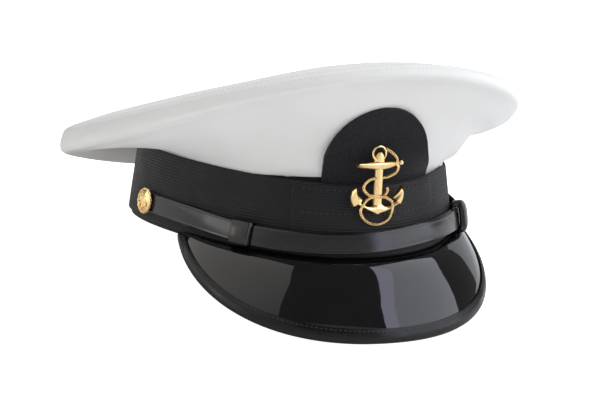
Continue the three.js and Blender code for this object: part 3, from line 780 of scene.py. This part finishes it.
# %% [markdown]
# ## The felt patch
# The half-round patch is stiff felt. It is tucked behind the braid, stands a little off the crown's wall
# and is flatter than it. Its face follows the wall found by halving steps up the crown's section, so a
# coarse grid is enough, and a Subdivision Surface modifier smooths it.

# %% Felt patch
PATCH_RADIUS = 30.2
PATCH_CENTRE_X = 2.2
PATCH_CENTRE_RISE = 11.2
PATCH_PROUD = 2.2
PATCH_WALL = 1.8
PATCH_FOOT_SHIFT = 4.4
PATCH_FOOT_SPREAD = 2
BAND_TOP_Z = BAND_HEIGHT + BAND_DIP[0]


def crown_at_height(angle, z):
    """Point on the bare wall at a height."""
    base, outward = crown_section(angle)[1], crown_section(angle)[3]
    low, high = 0, 1
    for _ in range(22):
        middle = (low + high) / 2
        if wall_curve(angle, middle).y < z:
            low = middle
        else:
            high = middle
    place = wall_curve(angle, low)
    return Vector((base.x, base.y, place.y)) + outward * place.x


def crown_angle(across, z):
    """Angle at which the wall stands a distance across from the middle, at a height."""
    angle = across / HEAD_HALF_WIDTH
    if abs(across) < 1e-6:
        return 0
    for _ in range(7):
        angle = math.asin(across * math.sin(angle) / crown_at_height(angle, z).x)
    return angle


@functools.lru_cache(maxsize=None)
def before_crown(across, z):
    """Point in front of the wall, straight out from it."""
    angle = crown_angle(across, z)
    beside = crown_at_height(angle + 0.01, z) - crown_at_height(angle - 0.01, z)
    above = crown_at_height(angle, z + 1) - crown_at_height(angle, z)
    return crown_at_height(angle, z) + beside.cross(above).normalized() * PATCH_PROUD


def patch_place(along, up):
    """Point on the patch: its foot is tucked behind the band and its round top stands free."""
    turn = math.pi * (along - 0.5)
    across = PATCH_CENTRE_X + PATCH_RADIUS * math.sin(turn)
    aside = PATCH_FOOT_SHIFT + PATCH_FOOT_SPREAD * math.sin(turn)
    angle = math.asin((across + aside) / (HEAD_HALF_WIDTH - BAND_FLARE - BAND_WALL - GAP))
    foot_share = 0.15
    if up < foot_share:
        tucked = head_point(angle, BAND_HEIGHT - CROWN_TUCK, -(BAND_WALL + GAP))
        return tucked.lerp(patch_place(along, foot_share), up / foot_share)
    low = head_point(angle, BAND_HEIGHT + CROWN_RISE, 0).z
    middle = BAND_TOP_Z + PATCH_CENTRE_RISE
    high = middle + PATCH_RADIUS * math.cos(turn)
    z = mix(low, high, (up - foot_share) / (1 - foot_share))
    free = smooth(z, low, low + 16)
    wrapped = before_crown(across + aside * (1 - free), z).copy()
    wrapped.y = mix(wrapped.y, before_crown(0, z).y, 0.6 * free)
    return wrapped


bm = bent_grid(36, 9, patch_place, (64, 52))
face_away(bm, (0, 20, 40))
patch = make_piece(bm, "felt_patch", felt, ["badge_patch"])
thicken(patch, PATCH_WALL, 0.6)
finer = patch.modifiers.new("finer", "SUBSURF")
finer.levels = 2
finer.render_levels = 2

# %% [markdown]
# Beside the patch, on the wearer's right, a narrow dark wedge of the same felt is laid just above the
# braid. It lies on the cotton and grows towards the patch.

# %% Felt edge
EDGE_FROM = -44
EDGE_TO = -17
EDGE_HIGH = 2.9


def felt_edge_place(along, up):
    """Point on the wedge, which follows the crown's wall above the band."""
    angle = math.radians(mix(EDGE_FROM, EDGE_TO, along))
    high = up * EDGE_HIGH * along
    if high < CROWN_RISE:
        return head_point(angle, BAND_HEIGHT + high - 1.5 * (1 - up), crown_foot(angle) + 0.6)
    wall = crown_section(angle)[4]
    share = (high - CROWN_RISE) / (3 * (wall[1] - wall[0]).length)
    return crown_wall(angle, share, 0.6)


bm = bent_grid(48, 6, felt_edge_place, (45, 5))
face_away(bm, (0, 0, 20))
felt_edge = make_piece(bm, "felt_edge", felt)
thicken(felt_edge, 0.5)

# %% [markdown]
# ## The peak
# The peak is a stiff sheet of lacquered leather that leaves the band level with its edge and drops
# steeply, a little bowed. At each place along the band it is a short curve, and the curves die away
# towards the ends. Close to the band it is fuller, and its inner edge goes in under the band, where it is
# sewn, so no light shows between them. A fine grid keeps its mirror-like face free of facets.

# %% Peak
PEAK_WIDTH = 46.7
PEAK_END = math.radians(72)
PEAK_REACH = 0.965
PEAK_WALL = 2.2
PEAK_ROWS = 42
PEAK_FULLER = 2
PEAK_FULLEST = 0.15
PEAK_NARROW = 12
PEAK_SEWN = 2 / PEAK_ROWS
PEAK_SEAM = 1.7
BINDING_WIDTH = 6
BINDING_EDGE = 1.3


@functools.lru_cache(maxsize=None)
def peak_curve(place):
    """The peak's section at a place from -1 to 1, as three (out, up) points, with its width."""
    full = PEAK_WIDTH * (1 - abs(place) ** 3.15) ** 1.06
    width = full - GAP - BINDING_EDGE
    drop = math.radians(mix(60, 43, place * place))
    end = Vector((width * math.cos(drop), -width * math.sin(drop)))
    bulge = Vector((math.sin(drop), math.cos(drop))) * 0.21 * width
    return [Vector((0, 0)), end / 2 + bulge, end], width


def peak_section(place, share, lift, beyond=0):
    """(out, up) on the peak's upper face, moved along its normal and past its edge."""
    curve, width = peak_curve(place)
    along = (curve[1] - curve[0]).lerp(curve[2] - curve[1], share).normalized()
    nearness = share / PEAK_FULLEST
    fuller = PEAK_FULLER * min(width / PEAK_NARROW, 1) * nearness * math.exp(1 - nearness)
    return bezier(curve, share) + Vector((-along.y, along.x)) * (lift + fuller) + along * beyond


def peak_place(place, point):
    angle = place * PEAK_END
    out = Vector((HEAD_HALF_LENGTH * math.sin(angle), -HEAD_HALF_WIDTH * math.cos(angle), 0)).normalized()
    return head_point(angle, -GAP, 0.1) + out * point.x + Vector((0, 0, point.y))


def peak_station(along):
    """Place along the peak, closer together towards its ends."""
    return PEAK_REACH * math.sin(1.5 * (2 * along - 1)) / math.sin(1.5)


def peak_face(along, up):
    """Point on the peak; the first rows are the edge sewn in under the band."""
    place = peak_station(along)
    if up < PEAK_SEWN:
        return peak_place(place, Vector((-PEAK_SEAM * (1 - up / PEAK_SEWN), 0)))
    return peak_place(place, peak_section(place, (up - PEAK_SEWN) / (1 - PEAK_SEWN), 0))


bm = bent_grid(160, PEAK_ROWS, peak_face, (210, 49))
face_away(bm, (0, -60, -80))
peak = make_piece(bm, "glossy_peak", patent, ["peak"])
thicken(peak, PEAK_WALL)

# %% [markdown]
# ## The peak's binding
# A strip of the same leather is folded round the peak's outer edge and stitched down. Its section is a
# closed loop: along the top, round the edge, back along the bottom and inside again. Swept along the
# peak it makes one closed tube with a hollow for the peak's edge.

# %% Peak binding
BINDING_WALL = 0.9


def binding_section(place):
    """Closed (out, up) outline of the binding at a place along the peak."""
    width = peak_curve(place)[1]
    bound = 1 - min(BINDING_WIDTH, 0.7 * width) / width
    outline = []
    for step in range(7):
        share = mix(bound, 1, step / 6)
        puff = 0.45 * math.sin(math.pi * step / 6)
        outline.append(peak_section(place, share, GAP + BINDING_WALL * min(0.55 + step / 4, 1) + puff))
    half = PEAK_WALL / 2 + GAP + BINDING_WALL
    for step in range(1, 8):
        turn = math.pi * step / 8
        lift = half * math.cos(turn) - PEAK_WALL / 2
        outline.append(peak_section(place, 1, lift, (GAP + BINDING_EDGE) * math.sin(turn)))
    for step in range(7):
        share = mix(1, bound, step / 6)
        outline.append(peak_section(place, share, -PEAK_WALL - GAP - BINDING_WALL))
    outline.append(peak_section(place, bound, -PEAK_WALL - 0.1))
    outline.append(peak_section(place, 1, -PEAK_WALL - 0.1, 0.1))
    outline.append(peak_section(place, 1, 0.1, 0.1))
    outline.append(peak_section(place, bound, 0.1))
    return outline


BINDING_POINTS = len(binding_section(0))


def binding_place(along, up):
    place = peak_station(along)
    step = round(up * BINDING_POINTS) % BINDING_POINTS
    return peak_place(place, binding_section(place)[step])


bm = bent_grid(160, BINDING_POINTS, binding_place, (300, 20), tube=True)
press_flat(bm)
make_piece(bm, "edge_binding", edge_patent, ["peak_binding"], crease=50)


def binding_line():
    """Stitch line on the binding, close to its inner edge, with the way out at each point."""
    line, outs = [], []
    for step in range(201):
        place = 0.985 * peak_station(step / 200)
        width = peak_curve(place)[1]
        share = 1 - (BINDING_WIDTH - 1.3) / width
        if share < 0.3:
            continue
        seat = peak_place(place, peak_section(place, share, GAP + BINDING_WALL + 0.1))
        line.append(seat)
        outs.append((peak_place(place, peak_section(place, share, 2)) - seat).normalized())
    return line, outs


line, outs = binding_line()
sew("binding_stitches", line, outs, 2.5, 1.7, 0.3, thread_black)

# %% [markdown]
# ## The chin strap
# The strap is two narrow lengths of lacquered leather that overlap in front and go through two loops.
# Each half is a tube with a flat rounded section and a fine raised line along its edges. Its middle line
# dips between the loops, given by a few heights round the band and a smooth curve through them.

# %% Strap line
STRAP_WIDTH = 10.6
STRAP_WALL = 1.4
STRAP_BULGE = 0.4
BUTTON_ANGLE = math.radians(88.5)
LAYER_BUTTON = GAP
LAYER_INNER = 1.6
LAYER_OUTER = 3.3
STRAP_ANGLES = (-95, -68, -45, -20, 0, 20, 40, 58, 95)
STRAP_HEIGHTS = (10.4, 9.9, 7.5, 7.4, 8.6, 10, 9.1, 7.1, 10.4)
KEEPER_ANGLES = {"near": -45.4, "far": 53}
KEEPER_LENGTH = 12
KEEPER_HEIGHT = 13.6
KEEPER_DEPTH = 8.6


def strap_height(angle):
    """Height of the strap's middle above the band's bottom edge: a smooth curve through the table."""
    turn = math.degrees(angle)
    last = len(STRAP_ANGLES) - 1
    row = max(k for k in range(last) if turn >= STRAP_ANGLES[k] or k == 0)

    def slope(k):
        before, after = max(k - 1, 0), min(k + 1, last)
        return (STRAP_HEIGHTS[after] - STRAP_HEIGHTS[before]) / (STRAP_ANGLES[after] - STRAP_ANGLES[before])

    step = STRAP_ANGLES[row + 1] - STRAP_ANGLES[row]
    t = (turn - STRAP_ANGLES[row]) / step
    start, end = STRAP_HEIGHTS[row], STRAP_HEIGHTS[row + 1]
    leaving, arriving = slope(row) * step, slope(row + 1) * step
    bend = t * t * (3 - 2 * t)
    return mix(start, end, bend) + leaving * t * (1 - t) ** 2 - arriving * t * t * (1 - t)


def strap_frame(angle, out):
    """Matrix on the strap's middle line: X along the strap, Y up, Z straight out."""
    def at(turn, rise):
        return head_point(turn, strap_height(turn) + rise, out)

    along = (at(angle + 0.01, 0) - at(angle - 0.01, 0)).normalized()
    outward = along.cross(at(angle, 1) - at(angle, 0)).normalized()
    axes = Matrix((along, outward.cross(along), outward)).transposed().to_4x4()
    return Matrix.Translation(at(angle, 0)) @ axes


print("in front the strap's middle is", round(strap_height(0), 2), "mm above the band's edge")

# %% Strap halves
def strap_half(side, layer):
    """Half of the strap, from its button to just inside the far loop; side is -1 or 1."""
    radius = STRAP_WIDTH / 2
    start = BUTTON_ANGLE + 5.5 / HEAD_HALF_LENGTH
    far = KEEPER_ANGLES["near"] if side > 0 else -KEEPER_ANGLES["far"]
    end = math.radians(far) - 0.4 * KEEPER_LENGTH / HEAD_HALF_LENGTH

    def place(along, up):
        angle = mix(start, end, along)
        from_end = (start - angle) * HEAD_HALF_LENGTH
        half = math.sqrt(max(radius**2 - max(radius - from_end, 0) ** 2, 1))
        across, lift = rounded_box(up, half, STRAP_WALL / 2, 8)
        bead = 0.22 * bell(abs(across), half - 0.7, 0.3) if lift > 0 else 0
        towards = smooth(angle, math.radians(56), math.radians(78))
        middle = mix(layer, LAYER_BUTTON, towards) + STRAP_WALL / 2
        out = middle + lift + bead + STRAP_BULGE * (1 - (across / half) ** 2)
        return head_point(side * angle, strap_height(side * angle) + across, out)

    return bent_grid(240, 40, place, (260, 24), tube=True)


make_piece(strap_half(-1, LAYER_INNER), "strap_inner", strap_patent, ["strap_right"], crease=60)
make_piece(strap_half(1, LAYER_OUTER), "strap_outer", strap_patent, ["strap_left"], crease=60)

# %% [markdown]
# ## The strap's loops
# Each loop is a short thick sleeve of leather round both layers, with its two edges turned over, so they
# stand up as narrow rims. It is a grid wrapped twice: round the sleeve, and round its wall, out across the
# puffed face and back through the opening for the strap.

# %% Loops
def keeper(name, angle, node, puff, rise=0, fall=0):
    """Loop round the strap; puff swells its face, and rise and fall make it taller."""
    seat = strap_frame(math.radians(angle), GAP)
    opening = (LAYER_OUTER + STRAP_WALL + STRAP_BULGE - 0.8) / 2

    def place(along, up):
        outside = up < 0.5
        across = 4 * up - 1 if outside else 3 - 4 * up
        inner = Vector(rounded_box(along, STRAP_WIDTH / 2 + 0.5, opening, 8)) + Vector((0, 0.8 + opening))
        if outside:
            outer = Vector(rounded_box(along, KEEPER_HEIGHT / 2 - 0.2, KEEPER_DEPTH / 2 - 0.2, 3.2))
            rims = 0.3 * (bell(across, -0.8, 0.09) + bell(across, 0.8, 0.09))
            outer += outer.normalized() * (puff * (1 - across**2) + rims)
            outer += Vector((rise if outer.x > 0 else -fall, KEEPER_DEPTH / 2))
            turned = 0.75 * (1 - math.sqrt(1 - abs(across) ** 7))
            spot = Vector((0, *outer.lerp(inner, turned)))
        else:
            spot = Vector((0, *inner))
        spot.x = across * KEEPER_LENGTH / 2
        return seat @ spot

    bm = bent_grid(72, 56, place, (40, 24), ring=True, tube=True)
    make_piece(bm, name, strap_patent, [node], crease=60)


keeper("loop_near", KEEPER_ANGLES["near"], "keeper_right", puff=0.35)
keeper("loop_far", KEEPER_ANGLES["far"], "keeper_left", puff=0.9, rise=0.8, fall=1.8)

# %% [markdown]
# ## Rope in metal
# The badge and the buttons have ropes cast in metal. Three strands laid together give a section with
# three lobes that turns as it goes along, so one twisted tube shows all the strands. Its path is a smooth
# curve through a short table of points.

# %% Rope helper
def rope_tube(path, radius, pitch, matrix, closed=False, lay=0.75):
    """Three-stranded rope along a path of points; lay is how deep its grooves are, 0 for plain wire."""
    last = len(path) - 1
    walked = [0]
    for a, b in zip(path, path[1:]):
        walked.append(walked[-1] + (b - a).length)

    def place(along, up):
        k = round(along * last)
        ahead, behind = path[min(k + 1, last)], path[max(k - 1, 0)]
        if closed and k in (0, last):
            ahead, behind = path[1], path[last - 1]
        tangent = (ahead - behind).normalized()
        side = tangent.cross(Vector((0, 0, 1))).normalized()
        over = side.cross(tangent)
        turn = 2 * math.pi * up
        lobes = abs(math.cos(1.5 * turn - 2 * math.pi * walked[k] / pitch))
        reach = radius * (1 - lay * (1 - lobes))
        return matrix @ (path[k] + (side * math.cos(turn) + over * math.sin(turn)) * reach)

    return bent_grid(last, 18, place, (60, 6), ring=closed, tube=True)


def join_into(bm, part):
    """Add one bmesh to another by way of a mesh."""
    mesh = bpy.data.meshes.new("part")
    part.to_mesh(mesh)
    part.free()
    bm.from_mesh(mesh)
    bpy.data.meshes.remove(mesh)


print("ropes can be laid along any path")

# %% [markdown]
# ## The anchor
# The anchor is cast with sloping faces that meet in ridges. It could be cut from one flat outline, but the
# ridges need an edge down the middle of each limb. So each limb is a closed plate between two curves, its
# lower and its upper edge, with the front face raised to a ridge between them and a flat back.

# %% Anchor limbs
ARM_LOWER = (
    (-12.7, -12.1), (-8.6, -14.1), (-4.4, -16.3), (-1.2, -17.8), (0.3, -18.7), (1.8, -17.9), (4.9, -16.8),
    (9.2, -14.8), (13.2, -12.6),
)
ARM_UPPER = (
    (-11, -10.4), (-7.8, -12.6), (-4.6, -13.6), (-2.2, -12.6), (0.1, -11.2), (2.5, -12.3), (4.9, -13.8),
    (8.1, -13.1), (11.6, -10.8),
)
SHANK_LEFT = ((-2.3, 12), (-2.3, 0), (-2.5, -14))
SHANK_RIGHT = ((2, 12), (2.1, 0), (2.9, -14))
FLUKE_OUTER = ((14.1, -13.6), (17, -8.4), (13.6, -3.4))
FLUKE_INNER = ((8.7, -9.3), (11.6, -7.6), (13.6, -3.4))


def smooth_at(rows, share):
    """Point on a smooth curve through the rows, at a share of the way along."""
    points = [Vector(row) for row in rows]
    points = [points[0] * 2 - points[1]] + points + [points[-1] * 2 - points[-2]]
    where = (len(rows) - 1) * share
    k = min(int(where), len(rows) - 2)
    t = where - k
    a, b, c, d = points[k:k + 4]
    bend = (2 * a - 5 * b + 4 * c - d) * t**2 + (3 * b - a - 3 * c + d) * t**3
    return b + 0.5 * ((c - a) * t + bend)


def limb(lower, upper, thick, ridge, matrix, steps=24, crest=0.5):
    """Closed plate between two curves, given as functions of a share; crest is where its ridge lies."""
    def place(along, up):
        front = up < 0.5
        across = 2 * up if front else 2 - 2 * up
        spot = lower(along).lerp(upper(along), across)
        body = thick * math.sqrt(1 - abs(2 * across - 1) ** 6)
        tent = min(across / crest, (1 - across) / (1 - crest))
        return matrix @ Vector((spot.x, spot.y, body + ridge * tent if front else 0))

    return bent_grid(steps, 32, place, (20, 10), tube=True)


def curved(points, flip=1):
    """Curve pulled by its middle point, as a function of a share; flip of -1 mirrors it."""
    corners = [Vector((flip * x, y)) for x, y in points]
    return lambda share: bezier(corners, share)


def through(rows):
    """Smooth curve through rows, as a function of a share."""
    return lambda share: smooth_at(rows, share)


def anchor_limbs(matrix, thick, ridge):
    """Shank, arms and flukes of an anchor, in one bmesh."""
    whole = bmesh.new()
    whole.loops.layers.uv.new("threads")
    join_into(whole, limb(curved(SHANK_LEFT), curved(SHANK_RIGHT), thick * 1.3, ridge * 0.25, matrix))
    join_into(whole, limb(through(ARM_LOWER), through(ARM_UPPER), thick * 1.4, ridge * 0.3, matrix, 64))
    for flip in (-1, 1):
        edges = [curved(points, flip) for points in (FLUKE_OUTER, FLUKE_INNER)]
        join_into(whole, limb(edges[0], edges[1], thick, ridge, matrix, 24, 0.62))
    return whole


print("the anchor's arms span", ARM_LOWER[-1][0] - ARM_LOWER[0][0], "mm")

# %% Badge
ROPE_RADIUS = 0.85
ROPE_PITCH = 2.6
ROPE_FALL = (
    (2.6, 16.9, 1.4), (5.3, 15.3, 1.4), (7.7, 13.4, 1.6), (8.7, 11.3, 2.8), (8.5, 9.3, 3.6), (10.3, 7, 2.4),
    (9.9, 4.3, 1.4), (7, 2.5, 1.1), (3.4, 1.5, 1.1), (-3.8, 1, 1.1), (-7.3, -0.9, 1.1), (-8.6, -3.5, 1.1),
    (-7.3, -6.1, 1.2), (-4.1, -8.1, 1.6), (0, -8.4, 3.1), (3.6, -8.6, 2.2), (6.6, -10.2, 1.7),
    (8.2, -12, 2.6),
)
ROPE_BOW = (
    (8.2, -12, 2.6), (8.7, -14.4, 2.4), (8.9, -17.5, 1.2), (7.3, -20.8, 1.1), (4.1, -22.8, 1.1),
    (0.1, -23.5, 1.1), (-4.5, -22.2, 1.1), (-8, -19.3, 1.1), (-9.4, -16.1, 1.3), (-9.4, -13.2, 2.6),
    (-7.3, -10.6, 1.7), (-4.5, -8.9, 1.5), (-2.1, -8.6, 1.9),
)
ROPE_TAIL = ((5, -3.7, 1.1), (5.5, -5.2, 1.1), (4.8, -6.8, 1.2), (3.1, -8.2, 1.6))
STOCK_LOWER = ((-14, 7.6), (-12.6, 6.8), (-7, 6.1), (-0.2, 5.3), (5.3, 5.9), (10.6, 7.9))
STOCK_UPPER = ((-14, 9.6), (-12.6, 10.2), (-7, 10.3), (-0.2, 10.4), (5.3, 10.5), (10.6, 10.7))
KNOB_LEFT = ((-3.3, 9.8), (-3.1, 15.2), (-0.6, 15.1))
KNOB_RIGHT = ((3, 9.8), (2, 15.2), (-0.6, 15.1))
BADGE_SEAT = (
    TO_SCENE
    @ Matrix.Translation((0.4, -100.75, 31.7))
    @ Matrix.Rotation(math.radians(95), 4, "X")
)
BADGE_LEVEL = TO_SCENE.inverted() @ BADGE_SEAT


def ring_path(radius, centre, steps):
    """Closed circle of points in the piece's own frame."""
    turns = [2 * math.pi * step / steps for step in range(steps + 1)]
    return [Vector(centre) + radius * Vector((math.cos(turn), math.sin(turn), 0)) for turn in turns]


badge = anchor_limbs(BADGE_LEVEL, 1.4, 1.5)
join_into(badge, limb(through(STOCK_LOWER), through(STOCK_UPPER), 1.8, 1.5, BADGE_LEVEL, 60, 0.72))
join_into(badge, limb(curved(KNOB_LEFT), curved(KNOB_RIGHT), 1.7, 0.6, BADGE_LEVEL, 24))
for rows in (ROPE_FALL, ROPE_BOW, ROPE_TAIL):
    steps = 24 * (len(rows) - 1)
    rope = [smooth_at(rows, step / steps) for step in range(steps + 1)]
    join_into(badge, rope_tube(rope, ROPE_RADIUS, ROPE_PITCH, BADGE_LEVEL))
ring = ring_path(3.8, (-0.9, 14.3, 1.2), 90)
join_into(badge, rope_tube(ring, 0.55, 1, BADGE_LEVEL, closed=True, lay=0))
stock_end = BADGE_SEAT @ Matrix.Translation((11.7, 9.2, 1.6))
bmesh.ops.create_uvsphere(badge, u_segments=24, v_segments=14, radius=1.55, matrix=stock_end)
make_piece(badge, "anchor", gilt, ["anchor_badge"], crease=40)

# %% [markdown]
# ## The buttons
# Each button is a thin domed disc with a rope rim and a small anchor in relief. Its section is drawn once
# and spun round the button's axis, and a short post behind it goes through strap and band.

# %% Buttons
BUTTON_SECTION = (
    (0, -5.2), (1.5, -5.2), (1.5, 0), (6.0, 0), (6.5, 0.35), (6.5, 0.9), (6.0, 1.3), (5.4, 1.45),
    (4, 1.95), (2, 2.35), (0, 2.45),
)
BUTTON_TILT = 4


def button(name, side, node):
    """Domed disc with a rope rim, a small anchor and a post; side is -1 or 1."""
    seat = TO_SCENE @ strap_frame(side * BUTTON_ANGLE, LAYER_BUTTON + STRAP_WALL + STRAP_BULGE + GAP)
    seat = seat @ Matrix.Rotation(math.radians(-BUTTON_TILT * side), 4, "Y")
    bm = bmesh.new()
    bm.loops.layers.uv.new("threads")
    dots = [bm.verts.new((radius, 0, height)) for radius, height in BUTTON_SECTION]
    edges = [bm.edges.new(pair) for pair in zip(dots, dots[1:])]
    bmesh.ops.spin(
        bm, geom=dots + edges, cent=(0, 0, 0), axis=(0, 0, 1), angle=2 * math.pi, steps=48, use_merge=True
    )
    bmesh.ops.remove_doubles(bm, verts=bm.verts, dist=1e-4)
    bmesh.ops.recalc_face_normals(bm, faces=bm.faces)
    small = Matrix.Translation((0, 0.7, 2.1)) @ Matrix.Diagonal((0.26, 0.26, 0.28, 1))
    join_into(bm, anchor_limbs(TO_SCENE.inverted() @ small, 1.4, 0.8))
    bar = Matrix.Translation((0, 2.5, 2.4)) @ Matrix.Diagonal((2.3, 0.42, 0.42, 1))
    bmesh.ops.create_uvsphere(bm, u_segments=16, v_segments=8, radius=1, matrix=bar)
    bmesh.ops.transform(bm, matrix=seat, verts=bm.verts)
    rim = ring_path(6.35, (0, 0, 1.15), 160)
    join_into(bm, rope_tube(rim, 0.72, 5.5, TO_SCENE.inverted() @ seat, closed=True))
    make_piece(bm, name, gilt, [node], crease=40)


button("button_near", -1, "button_right")
button("button_far", 1, "button_left")

# %% [markdown]
# ## The studio
# The cap stands on a plain white sweep, as in a product picture: the camera sees the floor as pure white,
# while every other ray sees white paper in the room's light, with a little glow of its own that fills the
# shade under the crown. A Light Path node tells the two apart.

# %% Floor
FLOOR_FOR_CAMERA = 1
FLOOR_FOR_OTHERS = 0.1

floor_material, floor_shader = start_material("floor", (0.93, 0.93, 0.93), 0.9)
vary_colour(floor_material, floor_shader, 3, (0.93, 0.93, 0.93), (0.92, 0.92, 0.92))
floor_shader.inputs["Emission Color"].default_value = (1, 0.975, 0.945, 1)
floor_tree = floor_material.node_tree
seen = add_node(floor_tree, "ShaderNodeLightPath")
floor_glow = add_node(floor_tree, "ShaderNodeMapRange")
floor_glow.inputs["To Min"].default_value = FLOOR_FOR_OTHERS
floor_glow.inputs["To Max"].default_value = FLOOR_FOR_CAMERA
floor_tree.links.new(seen.outputs["Is Camera Ray"], floor_glow.inputs["Value"])
floor_tree.links.new(floor_glow.outputs["Result"], floor_shader.inputs["Emission Strength"])


def stage_piece(bm, name, material):
    """Part of the studio, which is not part of the cap."""
    mesh = bpy.data.meshes.new(name)
    bm.to_mesh(mesh)
    bm.free()
    mesh.materials.append(material)
    thing = bpy.data.objects.new(name, mesh)
    bpy.context.collection.objects.link(thing)
    return thing


bm = bmesh.new()
bmesh.ops.create_grid(bm, x_segments=1, y_segments=1, size=12)
stage_piece(bm, "floor", floor_material)
print("floor laid")

# %% [markdown]
# Lacquer shows its surroundings like a dark mirror, so boards stand round the cap where the peak and the
# strap look. A bright one on the right has a brighter strip along its near edge. One on the left brightens
# towards the back, and a small bright one low on that side lights the strap. Two dim ones stand low in
# front and low behind on the right. Only mirrors see them. Each board is a flat face whose corners are
# directions from the cap, as degrees round from the front and up.

# %% Boards for the mirrors
BOARDS_FROM = Vector((0, -0.11, 0.02))


def way(turn, rise):
    """Direction from the cap, from degrees round and degrees up."""
    turn, rise = math.radians(turn), math.radians(rise)
    return Vector((math.sin(turn) * math.cos(rise), -math.cos(turn) * math.cos(rise), math.sin(rise)))


def grade_glow(material, shader, dots, near, far):
    """Glow that goes from near to far along Y, over the corners of a board."""
    tree = material.node_tree
    where = add_node(tree, "ShaderNodeTexCoord")
    split = add_node(tree, "ShaderNodeSeparateXYZ")
    tree.links.new(where.outputs["Object"], split.inputs[0])
    glow = add_node(tree, "ShaderNodeMapRange")
    glow.inputs["From Min"].default_value = min(dot.co.y for dot in dots)
    glow.inputs["From Max"].default_value = max(dot.co.y for dot in dots)
    glow.inputs["To Min"].default_value = near
    glow.inputs["To Max"].default_value = far
    tree.links.new(split.outputs["Y"], glow.inputs["Value"])
    tree.links.new(glow.outputs["Result"], shader.inputs["Emission Strength"])


def board(name, aim, corners, colour, glow, far_glow=None, away=3):
    """Flat board square to a direction; with a far glow, its glow changes along Y."""
    bm = bmesh.new()
    face = way(*aim)
    dots = [bm.verts.new(BOARDS_FROM + way(*corner) * away / way(*corner).dot(face)) for corner in corners]
    bm.faces.new(dots)
    material, shader = start_material(name, (0, 0, 0), 1)
    shader.inputs["Specular IOR Level"].default_value = 0
    shader.inputs["Emission Color"].default_value = (*colour, 1)
    shader.inputs["Emission Strength"].default_value = glow
    if far_glow:
        grade_glow(material, shader, dots, glow, far_glow)
    thing = stage_piece(bm, name, material)
    thing.visible_camera = False
    thing.visible_diffuse = False
    thing.visible_shadow = False


RIGHT_BOARD = (
    (26, -2), (26, 25), (29, 38), (40, 51), (57, 61), (90, 67), (120, 46), (113, 37), (104, 34.5), (95, 31),
    (90, 27), (86, 20), (83, 12), (82, 5), (92, -4),
)
STRIP_BOARD = (
    (26, -2), (26, 25), (29, 38), (40, 51), (57, 61), (75, 65.5), (95, 66), (78, 58), (62, 52), (48, 45),
    (38, 35), (35, 24), (34, -2),
)
LEFT_BOARD = ((-46, -2), (-46, 60), (-56, 74), (-80, 82), (-140, 74), (-140, -2))
SIDE_BOARD = ((-104, -2), (-104, 17), (-80, 17), (-80, -2))
FRONT_BOARD = ((-62, -2), (-62, 21), (24, 21), (24, -2))
BACK_BOARD = ((112, -6), (112, 8), (115, 19), (122, 25), (140, 22), (140, -6))
PALE = (1, 1, 1)
COOL = (0.96, 0.98, 1.06)
LAVENDER = (0.92, 0.91, 1.15)
WARM = (1.02, 0.99, 0.95)
board("board_right", (70, 30), RIGHT_BOARD, COOL, 2.5)
board("board_strip", (45, 30), STRIP_BOARD, LAVENDER, 3.6, 3.2, away=2.5)
board("board_left", (-95, 45), LEFT_BOARD, WARM, 0.2, 2.4)
board("board_side", (-92, 6), SIDE_BOARD, WARM, 3.2, away=2.8)
board("board_front", (-20, 0), FRONT_BOARD, PALE, 0.58)
board("board_back", (125, 0), BACK_BOARD, COOL, 1, 0.8)
print("six boards stand about 3 m away")

# %% [markdown]
# Cotton and felt are lit softly from everywhere, more from above on the right by a large softbox, and from
# low on both sides by two small ones. Mirrors don't see the softboxes, so they leave the lacquer alone.

# %% Softbox
CAP_MIDDLE = Vector((0, 0, 0.07))


def softbox(name, place, size, energy, colour):
    """Square light that faces the cap and that only matt faces see."""
    light = bpy.data.lights.new(name, "AREA")
    light.size = size
    light.energy = energy
    light.color = colour
    lamp = bpy.data.objects.new(name, light)
    aim = (CAP_MIDDLE - Vector(place)).to_track_quat("-Z", "Y")
    lamp.matrix_world = Matrix.Translation(place) @ aim.to_matrix().to_4x4()
    lamp.visible_camera = False
    lamp.visible_glossy = False
    bpy.context.collection.objects.link(lamp)


softbox("softbox_right", (1, -0.2, 2.2), 1.6, 34, (0.9, 0.94, 1))
softbox("softbox_low", (1.9, -0.6, 0.35), 1.2, 13, (0.92, 0.95, 1))
softbox("softbox_left", (-1.4, -1.2, 0.25), 1.2, 3, (1, 0.96, 0.9))
print("three softboxes lit")

# %% [markdown]
# The room itself is pale and even. Cloth takes its light from it, while mirrors see it darker, as dark
# screens round a cap make it. Again a Light Path node tells the two apart.

# %% Room
ROOM_FOR_CLOTH = 0.5
ROOM_FOR_MIRRORS = 0.17

world = bpy.data.worlds.new("studio")
bpy.context.scene.world = world
world.use_nodes = True
air = world.node_tree
background = air.nodes["Background"]
background.inputs["Color"].default_value = (1, 0.985, 0.96, 1)
path = add_node(air, "ShaderNodeLightPath")
dim = add_node(air, "ShaderNodeMapRange")
dim.inputs["To Min"].default_value = ROOM_FOR_CLOTH
dim.inputs["To Max"].default_value = ROOM_FOR_MIRRORS
air.links.new(path.outputs["Is Glossy Ray"], dim.inputs["Value"])
air.links.new(dim.outputs["Result"], background.inputs["Strength"])
bpy.context.scene.view_settings.view_transform = "Standard"
print("studio lit")
